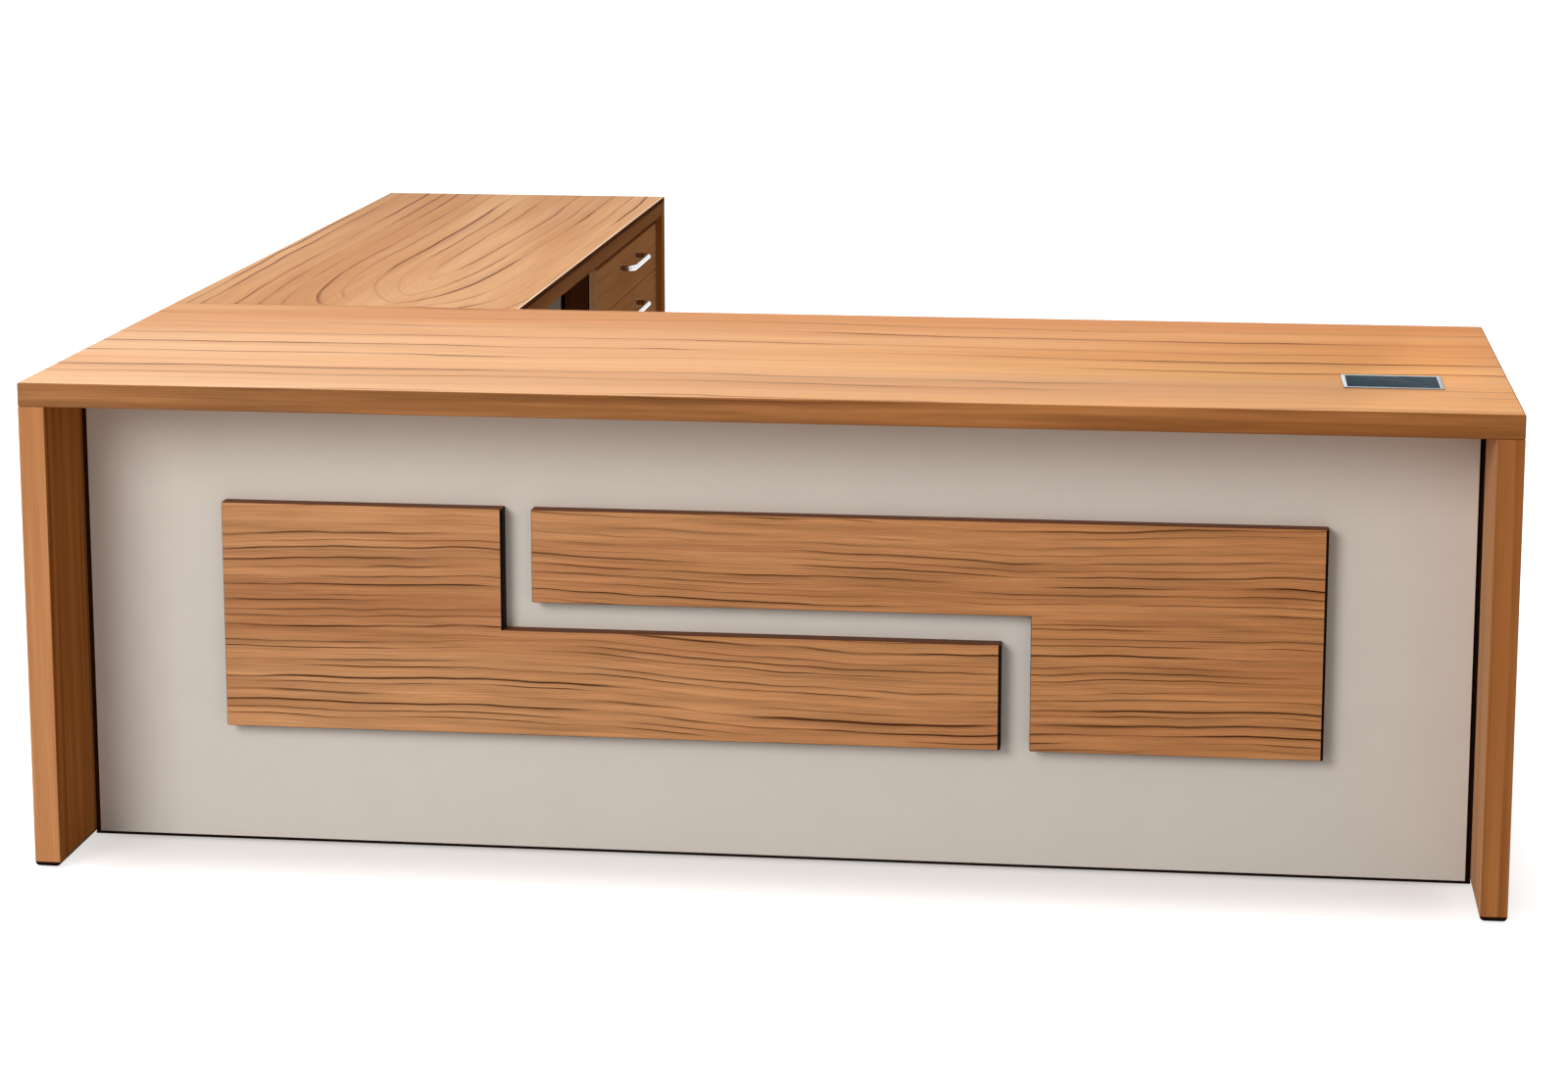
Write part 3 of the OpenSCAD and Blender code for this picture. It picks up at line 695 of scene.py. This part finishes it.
def makeMainTop(setup):
    low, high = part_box("main_top")
    holeLeft, holeRight, holeNear, holeFar = cutOut(low, high)
    xs = [low.x, holeLeft, holeRight, high.x]
    ys = [low.y, holeNear, holeFar, high.y]
    shape = bmesh.new()
    levels = [[[shape.verts.new((x, y, z)) for y in ys] for x in xs] for z in (low.z, high.z)]
    for grid in levels:
        for i in range(3):
            for j in range(3):
                if (i, j) != (1, 1):
                    shape.faces.new((grid[i][j], grid[i + 1][j], grid[i + 1][j + 1], grid[i][j + 1]))
    outer = [(i, 0) for i in range(4)] + [(3, j) for j in range(1, 4)]
    outer += [(i, 3) for i in (2, 1, 0)] + [(0, j) for j in (2, 1)]
    inner = [(1, 1), (2, 1), (2, 2), (1, 2)]
    for loop in (outer, inner):
        for (i, j), (k, m) in zip(loop, loop[1:] + loop[:1]):
            shape.faces.new((levels[0][i][j], levels[0][k][m], levels[1][k][m], levels[1][i][j]))
    # only the outer sharp edges are eased, not those round the cut-out
    weights = shape.edges.layers.float.new("bevel_weight_edge")
    shape.normal_update()
    for edge in shape.edges:
        onOutside = all(min(abs(v.co.x - low.x), abs(v.co.x - high.x), abs(v.co.y - low.y),
            abs(v.co.y - high.y)) < touch for v in edge.verts)
        if onOutside and abs(edge.calc_face_angle(0.0)) > setup["sharpAngle"]:
            edge[weights] = 1.0
    piece = newPiece("main_top_board", shape, ["topVeneer", "edgeVeneerX", "edgeVeneerY"])
    paintByNormal(piece, edgeRule)
    easeEdges(piece, setup["ease"], setup["edgeSegments"], weighted=True)
    piece.modifiers["easedEdges"].material = 1  # the eased edges look as the front edge does
    place(piece, "desk", "top_veneer", "main_top")


def makeReturnTop(setup):
    low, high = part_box("return_top")
    looks = ["returnVeneer", "edgeVeneerX", "edgeVeneerY", "arrisPaintedHighlight", "darkWoodPaintedShade", "blackTrimAndPaintedShade"]
    board = boardPiece("return_top_board", "return_top", looks, topSetup["ease"], edgeRule)
    inner, below, end = high.x - setup["arris"], high.z - setup["shade"], high.y - setup["paintedShadeEnd"]
    cutAlong(board, (inner, 0, 0), (1, 0, 0))
    cutAlong(board, (0, 0, below), (0, 0, 1))
    cutAlong(board, (0, end, 0), (0, 1, 0))
    # its inner edge: a painted highlight on the arris above, a dark band of painted shade below it and a
    # black far end of painted shade
    for polygon in board.data.polygons:
        middle, normal = polygon.center, polygon.normal
        if normal.z > facing and middle.x > inner and middle.y < end:
            polygon.material_index = looks.index("arrisPaintedHighlight")
        elif normal.x > facing:
            look = "blackTrimAndPaintedShade" if middle.y > end else "darkWoodPaintedShade" if middle.z > below else "edgeVeneerY"
            polygon.material_index = looks.index(look)
    place(board, "desk", "top_veneer", "return_top")


makeMainTop(topSetup)
makeReturnTop(returnSetup)
print("desk: tops")


# Slab side panels with rounded feet

slabSetup = {"footRadius": 0.007, "footSteps": 6, "ease": 0.0015, "footPaintedShadow": 0.0065}


def slabOutline(start, end, bottom, top, radius, steps):
    outline = [(start, top), (start, bottom + radius)]
    for k in range(1, steps + 1):
        turn = math.pi / 2 * k / steps
        outline.append((start + radius * (1 - math.cos(turn)), bottom + radius * (1 - math.sin(turn))))
    for k in range(steps + 1):
        turn = math.pi / 2 * k / steps
        outline.append((end - radius * (1 - math.sin(turn)), bottom + radius * (1 - math.cos(turn))))
    return outline + [(end, top)]


def makeSlab(name, node, axis, innerPaintedLightFinish, setup):
    # axis is the slab's long level direction
    low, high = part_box(node)
    across = 0 if axis == "Y" else 1
    along = 1 - across
    outline = slabOutline(low[across], high[across], low.z, high.z, setup["footRadius"], setup["footSteps"])
    shape = bmesh.new()
    addPrism(shape, outline, axis, low[along], high[along])
    foot = low.z + setup["footPaintedShadow"]
    cutShape(shape, (0, 0, foot), (0, 0, 1))
    piece = newPiece(name, shape, ["slabVeneer", innerPaintedLightFinish, "blackTrimAndPaintedShade"])
    # the inner face looks towards the desk's middle and gets a copy of the veneer with painted light and
    # shade, and the lowest edge is black: painted shadow
    inward = -math.copysign(1, low[across] + high[across])
    paintByNormal(piece, lambda normal: int(normal[across] * inward > facing))
    # painted shadow along the foot
    for polygon in piece.data.polygons:
        if polygon.center.z < foot:
            polygon.material_index = 2
    easeEdges(piece, setup["ease"])
    place(piece, "desk", "side_veneer", node)


makeSlab("left_slab", "left_side_panel", "Y", "innerPaintedShade", slabSetup)
makeSlab("right_slab", "right_side_panel", "Y", "innerPaintedLight", slabSetup)
makeSlab("return_end_slab", "return_end_panel", "X", "innerPaintedShade", slabSetup)


def paintShadeOnEndSlab(setup):
    # painted shade: the slab's inner edge is dark, and black in its outer part
    slab = bpy.data.objects["return_end_slab"]
    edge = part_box("return_end_panel")[1].y - setup["paintedShadeEnd"]
    cutAlong(slab, (0, edge, 0), (0, 1, 0))
    for polygon in slab.data.polygons:
        if polygon.normal.x > facing and polygon.material_index == 0:
            polygon.material_index = 2 if polygon.center.y > edge else 1


paintShadeOnEndSlab(returnSetup)
print("desk: slab panels")


# Modesty panel, return back panel and their trim

panelSetup = {"ease": 0.0008}
for panelName, panelNode in (("modesty_board", "modesty_panel"), ("return_back_board", "return_back_panel")):
    panel = boardPiece(panelName, panelNode, ["greigeBoard"], panelSetup["ease"])
    place(panel, "desk", "greige_board", panelNode)


def makeTrim(setup):
    trim = easedCopy("panel_trim_strips", "panel_trim", "blackTrimAndPaintedShade", setup["ease"])
    trim.data.materials.append(finishes["paintedShadeTrim"])
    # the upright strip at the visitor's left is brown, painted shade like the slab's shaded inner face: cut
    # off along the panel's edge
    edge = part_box("modesty_panel")[0].x
    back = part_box("main_top")[1].y
    cutAlong(trim, (edge, 0, 0), (1, 0, 0))
    for polygon in trim.data.polygons:
        corners = [trim.data.vertices[k].co for k in polygon.vertices]
        polygon.material_index = int(all(c.x < edge + 10 * touch and c.y < back for c in corners))
    place(trim, "desk", "black_trim", "panel_trim")


makeTrim(panelSetup)
print("desk: panels")


# Front plates

plateSetup = {"ease": 0.0018, "paintedShadeStrip": 0.004}


def plateOutline(node):
    # an L found from the CAD plate's own corners: a rectangle with a notch at the one it lacks
    corners = {(round(v.co.x, 5), round(v.co.z, 5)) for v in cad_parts[node].data.vertices}
    xs = sorted({x for x, z in corners})
    zs = sorted({z for x, z in corners})
    full = [(xs[0], zs[0]), (xs[2], zs[0]), (xs[2], zs[2]), (xs[0], zs[2])]
    missing = next(corner for corner in full if corner not in corners)
    k = full.index(missing)
    notch = [(xs[1], missing[1]), (xs[1], zs[1]), (missing[0], zs[1])]
    if k % 2 == 0:  # walked the other way round at these corners
        notch.reverse()
    return full[:k] + notch + full[k + 1:]


def makePlate(name, node, setup):
    low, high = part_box(node)
    shape = bmesh.new()
    addPrism(shape, plateOutline(node), "Y", low.y, high.y)
    piece = newPiece(name, shape, ["plateVeneer", "plateEdge", "plateRim"])
    paintByNormal(piece, lambda normal: 0 if abs(normal.y) > facing else 1 if abs(normal.x) > facing else 2)
    # each edge that looks to the right is black, with a strip of painted shade beside it on the front
    ends = []
    for polygon in piece.data.polygons:
        if polygon.normal.x > facing:
            levels = [piece.data.vertices[k].co.z for k in polygon.vertices]
            ends.append((polygon.center.x, min(levels), max(levels)))
    strip = setup["paintedShadeStrip"]
    for x, bottom, top in ends:
        cutAlong(piece, (x - strip, 0, 0), (1, 0, 0))
        cutAlong(piece, (0, 0, bottom), (0, 0, 1))
    for polygon in piece.data.polygons:
        middle = polygon.center
        onStrip = any(x - strip < middle.x < x and bottom < middle.z < top for x, bottom, top in ends)
        if polygon.normal.y < -facing and onStrip:
            polygon.material_index = 1
    easeEdges(piece, setup["ease"])
    place(piece, "desk", "plate_veneer", node)


makePlate("left_wood_plate", "front_plate_left", plateSetup)
makePlate("right_wood_plate", "front_plate_right", plateSetup)
print("desk: front plates")


# Drawer pedestal

pedestalSetup = {"ease": 0.0007}
pedestalBoards = [
    ("cabinet_side_near", "pedestal_side_near", "greigeBoard", "greige_board"),
    ("cabinet_side_far", "pedestal_side_far", "greigeBoard", "greige_board"),
    ("cabinet_shadow_strip", "pedestal_shadow_strip", "blackTrimAndPaintedShade", "black_trim"),
    ("cabinet_floor", "pedestal_floor", "greigeBoard", "greige_board"),
    ("cabinet_back", "pedestal_back", "boxBoard", "drawer_board"),
    ("cabinet_plinth", "pedestal_plinth", "darkWoodPaintedShade", "dark_wood"),
    ("cabinet_stile", "pedestal_stile", "darkWoodPaintedShade", "dark_wood"),
]
for boardName, boardNode, boardFinish, boardSlot in pedestalBoards:
    board = boardPiece(boardName, boardNode, [boardFinish], pedestalSetup["ease"])
    place(board, "desk", boardSlot, boardNode)


def makeRails(setup):
    rails = easedCopy("cabinet_rails", "pedestal_rails", "darkWoodPaintedShade", setup["ease"])
    # painted shade: black where they show in the gap over the first drawer
    rails.data.materials.append(finishes["blackTrimAndPaintedShade"])
    paintByNormal(rails, lambda normal: int(normal.x > facing))
    place(rails, "desk", "dark_wood", "pedestal_rails")


makeRails(pedestalSetup)
print("desk: pedestal")


# Drawers

drawerSetup = {"frontEase": 0.0012, "boxEase": 0.0006, "wall": 0.012}


def makeDrawerBox(number, setup):
    # sides run the full length, and the two cross pieces stand between them
    node = f"drawer_{number}_box"
    low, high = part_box(node)
    wall = setup["wall"]
    shape = bmesh.new()
    for y in (low.y, high.y - wall):
        addBoard(shape, (low.x, y, low.z), (high.x, y + wall, high.z))
    for x in (low.x, high.x - wall):
        addBoard(shape, (x, low.y + wall, low.z), (x + wall, high.y - wall, high.z))
    piece = newPiece(f"drawer_{number}_box_walls", shape, ["boxBoard"])
    easeEdges(piece, setup["boxEase"], 2)
    place(piece, f"drawer_{number}", "drawer_board", node)


def makeDrawer(number, setup):
    body = f"drawer_{number}"
    # the near edge of each front is pale: a painted highlight on an edge in shade
    front = boardPiece(f"{body}_face", f"{body}_front", ["frontVeneer", "bandPaintedHighlight"], setup["frontEase"],
        lambda normal: int(normal.y < -facing))
    place(front, body, "front_veneer", f"{body}_front")
    makeDrawerBox(number, setup)
    base = boardPiece(f"{body}_base", f"{body}_bottom", ["boxBoard"], setup["boxEase"])
    place(base, body, "drawer_board", f"{body}_bottom")


for number in drawerNumbers:
    makeDrawer(number, drawerSetup)
print("desk: drawers")


# Bow handles: a bar that follows a bent path, with a ring at each foot

def geometryTree(name, sizes):
    # each entry of sizes becomes a named input
    tree = bpy.data.node_groups.new(name, "GeometryNodeTree")
    tree.interface.new_socket("Geometry", in_out="INPUT", socket_type="NodeSocketGeometry")
    for label, value in sizes.items():
        kind = "NodeSocketInt" if isinstance(value, int) else "NodeSocketFloat"
        tree.interface.new_socket(label, in_out="INPUT", socket_type=kind)
    tree.interface.new_socket("Geometry", in_out="OUTPUT", socket_type="NodeSocketGeometry")
    return tree, addNode(tree, "NodeGroupInput").outputs


def endTree(tree, geometry, material):
    real = addNode(tree, "GeometryNodeRealizeInstances", {0: geometry}).outputs[0]
    painted = addNode(tree, "GeometryNodeSetMaterial", {"Geometry": real, "Material": finishes[material]})
    addNode(tree, "NodeGroupOutput", {0: painted.outputs[0]})


def grow(name, tree, sizes, points, edges=(), aims=None):
    # runs the tree once on these points and keeps the result as a plain mesh
    seed = bpy.data.meshes.new(name + "Seed")
    seed.from_pydata([tuple(p) for p in points], list(edges), [])
    if aims is not None:
        stored = seed.attributes.new("aim", "FLOAT_VECTOR", "POINT")
        stored.data.foreach_set("vector", [c for aim in aims for c in aim])
    piece = bpy.data.objects.new(name, seed)
    scene.collection.objects.link(piece)
    modifier = piece.modifiers.new("shape", "NODES")
    modifier.node_group = tree
    for item in tree.interface.items_tree:
        if item.in_out == "INPUT" and item.name in sizes:
            modifier[item.identifier] = sizes[item.name]
    graph = bpy.context.evaluated_depsgraph_get()
    mesh = bpy.data.meshes.new_from_object(piece.evaluated_get(graph), depsgraph=graph)
    piece.modifiers.clear()
    piece.data = mesh
    return piece


def smoothByAngle(piece):
    piece.data.shade_smooth()
    piece.data.set_sharp_from_angle(angle=smoothAngle)


def lathe(shape, profile, steps, matrix):
    # spins (radius, height) pairs round Z, and closes where the radius is 0
    rings = []
    for radius, height in profile:
        turns = [2 * math.pi * k / steps for k in range(steps if radius > 0 else 1)]
        rings.append([shape.verts.new(matrix @ Vector((radius * math.cos(t), radius * math.sin(t), height)))
            for t in turns])
    for lower, upper in zip(rings, rings[1:]):
        for k in range(steps):
            j = (k + 1) % steps
            corners = [ring[i % len(ring)] for ring, i in ((lower, k), (lower, j), (upper, j), (upper, k))]
            corners = list(dict.fromkeys(corners))  # a ring of one point gives it twice
            if len(corners) > 2:
                shape.faces.new(corners)


handleSetup = {
    "barRadius": 0.0055,
    "bendRadius": 0.014,
    "bendSteps": 12,
    "sides": 32,
    "ringRadius": 0.007,
    "ringHeight": 0.0012,
    "ringEase": 0.0004,
    "ringSides": 40,
    "postGap": 0.009,      # from the bar's middle to where its dark posts start
}


def handleTree(sizes):
    tree, given = geometryTree("bowHandle", sizes)
    path = addNode(tree, "GeometryNodeMeshToCurve", {"Mesh": given["Geometry"]}).outputs[0]
    bent = addNode(tree, "GeometryNodeFilletCurve", {"Curve": path, "Count": given["Bend steps"],
        "Radius": given["Bend radius"]}, mode="POLY").outputs[0]
    section = addNode(tree, "GeometryNodeCurvePrimitiveCircle", {"Resolution": given["Sides"],
        "Radius": given["Bar radius"]}).outputs[0]
    bar = addNode(tree, "GeometryNodeCurveToMesh",
        {"Curve": bent, "Profile Curve": section, "Fill Caps": True}).outputs[0]
    endTree(tree, bar, "chrome")
    return tree


def makeHandle(number, setup):
    node = f"drawer_{number}_handle"
    low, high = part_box(node)
    near, far = low.y + setup["ringRadius"], high.y - setup["ringRadius"]
    level = (low.z + high.z) / 2
    reach = high.x - setup["barRadius"]
    sizes = {"Bar radius": setup["barRadius"], "Bend radius": setup["bendRadius"],
        "Bend steps": setup["bendSteps"], "Sides": setup["sides"]}
    points = [(low.x, near, level), (reach, near, level), (reach, far, level), (low.x, far, level)]
    handle = grow(f"drawer_{number}_bow_handle", handleTree(sizes), sizes, points, [(0, 1), (1, 2), (2, 3)])
    shape = bmesh.new()
    shape.from_mesh(handle.data)
    ring, top, ease = setup["ringRadius"], setup["ringHeight"], setup["ringEase"]
    for y in (near, far):
        foot = Matrix.Translation((low.x, y, level)) @ Matrix.Rotation(math.pi / 2, 4, "Y")
        profile = [(0, 0), (ring, 0), (ring, top - ease), (ring - ease, top), (0, top)]
        lathe(shape, profile, setup["ringSides"], foot)
    bmesh.ops.recalc_face_normals(shape, faces=shape.faces)
    # dark posts under a bright bar: a painted reflection darkens the posts
    for face in shape.faces:
        face.material_index = int(face.calc_center_median().x < reach - setup["postGap"])
    shape.to_mesh(handle.data)
    shape.free()
    handle.data.materials.append(finishes["postPaintedReflection"])
    smoothByAngle(handle)
    place(handle, f"drawer_{number}", "chrome", node)


for number in drawerNumbers:
    makeHandle(number, handleSetup)
print("desk: handles")


# Screws: each stands where its CAD solid does, with its cross turned at random

screwSetup = {
    "crossSpan": 0.62,       # shares of the head's radius, its diameter and its height
    "crossWidth": 0.1,
    "crossDepth": 0.6,
    "faceSpan": 0.8,         # the flat outer face, a share of the head's radius
    "faceDepth": 0.0002,
    "tips": {True: (2.0, 0.15), False: (0.2, 0.8)},     # pointed or not: length and end in shank radii
    "sides": 20,
    "seed": 4,
}


def looseSolids(node):
    # the corner points of each separate solid in a CAD node, in a fixed order
    shape = cadShape(node)
    seen = set()
    solids = []
    for start in shape.verts:
        if start in seen:
            continue
        seen.add(start)
        front = [start]
        points = []
        while front:
            vertex = front.pop()
            points.append(vertex.co.copy())
            for edge in vertex.link_edges:
                other = edge.other_vert(vertex)
                if other not in seen:
                    seen.add(other)
                    front.append(other)
        solids.append(points)
    shape.free()
    return solids


def spanOf(points):
    low, high = [Vector([pick(p[k] for p in points) for k in range(3)]) for pick in (min, max)]
    return low, high


def screwStand(points):
    # the middle of the head's outer face, the way to the tip, and the screw's sizes
    low, high = spanOf(points)
    size = high - low
    axis = max(range(3), key=lambda k: size[k])
    middle = (low + high) / 2
    reach = {}
    for p in points:
        level = round(p[axis], 5)
        reach[level] = max(reach.get(level, 0), *[abs(p[k] - middle[k]) for k in range(3) if k != axis])
    levels = sorted(reach)
    headAtLow = reach[levels[0]] > reach[levels[-1]]
    if not headAtLow:
        levels.reverse()
    head = middle.copy()
    head[axis] = levels[0]
    aim = Vector((0, 0, 0))
    aim[axis] = 1.0 if headAtLow else -1.0
    sizes = {"length": size[axis], "headRadius": reach[levels[0]], "headHeight": abs(levels[1] - levels[0]),
        "shankRadius": reach[levels[-1]]}
    return head, aim, sizes


def screwShape(sizes, pointed, setup):
    # a pan head at z = 0 with a cross in it, and a shank with a point or a plain end
    shape = bmesh.new()
    length, headHeight = sizes["length"], sizes["headHeight"]
    head, shank = sizes["headRadius"], sizes["shankRadius"]
    faceDepth = setup["faceDepth"]
    tipLength, tipEnd = setup["tips"][pointed]
    # the head's rim is rounded in two steps
    profile = [(head * setup["faceSpan"], faceDepth), (head * 0.95, headHeight * 0.3),
        (head, headHeight * 0.65), (head, headHeight), (shank, headHeight),
        (shank, length - shank * tipLength), (shank * tipEnd, length), (0, length)]
    lathe(shape, profile, setup["sides"], Matrix.Identity(4))
    rim = [edge for edge in shape.edges if all(abs(v.co.z - faceDepth) < touch / 10 for v in edge.verts)]
    arm, half = head * setup["crossSpan"], head * setup["crossWidth"]
    outline = []
    for quarter in range(4):
        turn = Matrix.Rotation(-quarter * math.pi / 2, 2)
        outline += [turn @ Vector(corner) for corner in ((half, arm), (half, half), (arm, half))]
    count = len(outline)
    depth = headHeight * setup["crossDepth"]
    upper, lower = [[shape.verts.new((*point, z)) for point in outline] for z in (0.0, depth)]
    cross = [shape.edges.new((upper[k], upper[(k + 1) % count])) for k in range(count)]
    bmesh.ops.triangle_fill(shape, edges=rim + cross, use_beauty=True)
    for k in range(count):
        j = (k + 1) % count
        shape.faces.new((upper[k], upper[j], lower[j], lower[k]))
    shape.faces.new(lower)
    bmesh.ops.recalc_face_normals(shape, faces=shape.faces)
    return newObject("screwShape", shape)


def repeatTree(name, template, sizes, material):
    # one copy of the template at each point, along the point's aim
    tree, given = geometryTree(name, sizes)
    copy = addNode(tree, "GeometryNodeObjectInfo",
        {"Object": template, "As Instance": True}).outputs["Geometry"]
    aim = addNode(tree, "GeometryNodeInputNamedAttribute", {"Name": "aim"},
        data_type="FLOAT_VECTOR").outputs[0]
    along = addNode(tree, "FunctionNodeAlignRotationToVector", {"Vector": aim}, axis="Z").outputs[0]
    turn = addNode(tree, "FunctionNodeRandomValue", {2: 0.0, 3: given["Turn"], 8: given["Seed"]},
        data_type="FLOAT").outputs[1]
    angles = addNode(tree, "ShaderNodeCombineXYZ", {2: turn}).outputs[0]
    spin = addNode(tree, "FunctionNodeEulerToRotation", {0: angles}).outputs[0]
    turned = addNode(tree, "FunctionNodeRotateRotation", {0: along, 1: spin},
        rotation_space="LOCAL").outputs[0]
    copies = addNode(tree, "GeometryNodeInstanceOnPoints", {"Points": given["Geometry"], "Instance": copy,
        "Rotation": turned, "Scale": given["Size"]}).outputs[0]
    endTree(tree, copies, material)
    return tree


def makeScrews(name, node, body, pointed, setup):
    stands = [screwStand(points) for points in looseSolids(node)]
    template = screwShape(stands[0][2], pointed, setup)
    sizes = {"Size": 1.0, "Turn": 2 * math.pi, "Seed": setup["seed"]}
    tree = repeatTree("screws", template, sizes, "zincSteel")
    screws = grow(name, tree, sizes, [s[0] for s in stands], aims=[s[1] for s in stands])
    bpy.data.objects.remove(template)
    smoothByAngle(screws)
    place(screws, body, "zinc_steel", node)


makeScrews("bracket_wood_screws", "wood_screws", "desk", True, screwSetup)
for number in drawerNumbers:
    drawerBody = f"drawer_{number}"
    makeScrews(f"{drawerBody}_handle_screws", f"{drawerBody}_screws", drawerBody, False, screwSetup)
print("desk: screws")


# Drawer runners: three nested channels of bent sheet on each side

runnerSetup = {
    "sheet": 0.0012,
    "bend": 0.0022,
    "bendSteps": 5,
    "ballRadius": 0.0009,
    "ballSpacing": 0.03,
    "ballEnd": 0.018,        # from a channel's end to its first ball
    "ballDepth": 0.00495,    # from the web's outer face to the balls
}


def channelOutline(web, lip, middle, half, setup):
    # a C on its back: the web at y = web, the flanges reaching to y = lip
    side = 1 if lip > web else -1
    sheet, bend, steps = setup["sheet"], setup["bend"], setup["bendSteps"]
    outline = []
    for radius, inset, order in ((bend, 0.0, 1), (bend - sheet, sheet, -1)):
        path = [(lip, middle + half - inset)]
        for up in (1, -1):
            for k in range(steps + 1):
                turn = math.pi / 2 * (k if up == 1 else steps - k) / steps
                path.append((web + side * (bend - radius * math.sin(turn)),
                    middle + up * (half - bend + radius * math.cos(turn))))
        path.append((lip, middle - half + inset))
        outline += path[::order]
    return outline


def channelSpans(node):
    # each channel's lowest and highest corner, and whether it stands on the visitor's side of its drawer
    spans = [spanOf(points) for points in looseSolids(node)]
    centre = sum(low.y + high.y for low, high in spans) / len(spans)
    return [(low, high, low.y + high.y < centre) for low, high in spans]


def makeRunner(number, member, body, setup):
    node = f"runner_{member}_{number}"
    shape = bmesh.new()
    for low, high, nearVisitor in channelSpans(node):
        # the fixed and middle channels have their backs to the cabinet, the inner ones to the drawer
        web, lip = (low.y, high.y) if nearVisitor == (member != "inner") else (high.y, low.y)
        outline = channelOutline(web, lip, (low.z + high.z) / 2, (high.z - low.z) / 2, setup)
        addPrism(shape, outline, "X", low.x, high.x)
    piece = newPiece(f"drawer_{number}_runner_{member}", shape, ["zincSteel"])
    smoothByAngle(piece)
    place(piece, body, "zinc_steel", node)


def makeBalls(number, setup):
    # a row of steel balls in each flange of the middle channels
    points = []
    for low, high, nearVisitor in channelSpans(f"runner_middle_{number}"):
        y = low.y + setup["ballDepth"] if nearVisitor else high.y - setup["ballDepth"]
        length = high.x - low.x - 2 * setup["ballEnd"]
        count = round(length / setup["ballSpacing"])
        for z in (low.z + setup["sheet"] / 2, high.z - setup["sheet"] / 2):
            points += [(low.x + setup["ballEnd"] + length * k / count, y, z) for k in range(count + 1)]
    shape = bmesh.new()
    bmesh.ops.create_uvsphere(shape, u_segments=8, v_segments=6, radius=setup["ballRadius"])
    ball = newObject("runnerBall", shape)
    sizes = {"Size": 1.0, "Turn": math.pi, "Seed": 2}
    tree = repeatTree("runnerBalls", ball, sizes, "zincSteel")
    balls = grow(f"drawer_{number}_runner_balls", tree, sizes, points, aims=[(0.0, 0.0, 1.0)] * len(points))
    bpy.data.objects.remove(ball)
    balls.data.shade_smooth()
    place(balls, f"runner_{number}", "zinc_steel")


for number in drawerNumbers:
    makeBalls(number, runnerSetup)
    makeRunner(number, "fixed", "desk", runnerSetup)
    makeRunner(number, "middle", f"runner_{number}", runnerSetup)
    makeRunner(number, "inner", f"drawer_{number}", runnerSetup)
print("desk: runners")


# Glides, seam plates and brackets

glideSetup = {"ease": 0.001, "sides": 40}
fittingSetup = {"ease": 0.0006}


def makeGlides(setup):
    shape = bmesh.new()
    for points in looseSolids("glides"):
        low, high = spanOf(points)
        radius, height, ease = (high.x - low.x) / 2, high.z - low.z, setup["ease"]
        stand = Matrix.Translation(((low.x + high.x) / 2, (low.y + high.y) / 2, low.z))
        lathe(shape, [(0, 0), (radius - ease, 0), (radius - 0.3 * ease, 0.3 * ease), (radius, ease),
            (radius, height - ease), (radius - ease, height), (0, height)], setup["sides"], stand)
    glides = newPiece("floor_glides", shape, ["glidePlastic"])
    smoothByAngle(glides)
    place(glides, "desk", "glide_plastic", "glides")


makeGlides(glideSetup)
for fittingName, fittingNode in (("top_seam_plates", "seam_plates"), ("angle_brackets", "corner_brackets")):
    fitting = easedCopy(fittingName, fittingNode, "zincSteel", fittingSetup["ease"])
    place(fitting, "desk", "zinc_steel", fittingNode)
print("desk: fittings")


# Power box in the desktop

boxPieces = [
    # name, CAD node, finish, slot, body, edge radius
    ("power_box_frame", "power_frame", "rimMetal", "rim_metal", "desk", 0.0004),
    ("power_box_lid", "power_lid", "lidGloss", "lid_gloss", "lid", 0.0005),
    ("power_box_pin", "power_hinge_pin", "zincSteel", "zinc_steel", "lid", 0.0003),
    ("power_box_housing", "power_housing", "boxPlastic", "box_plastic", "desk", 0.0005),
    ("power_box_sockets", "power_sockets", "socketPlastic", "socket_plastic", "desk", 0.0006),
    ("power_box_cord_inlet", "power_cord_inlet", "boxPlastic", "box_plastic", "desk", 0.0005),
]
for boxName, boxNode, boxFinish, boxSlot, boxBody, boxEase in boxPieces:
    place(easedCopy(boxName, boxNode, boxFinish, boxEase), boxBody, boxSlot, boxNode)
print("desk: power box")
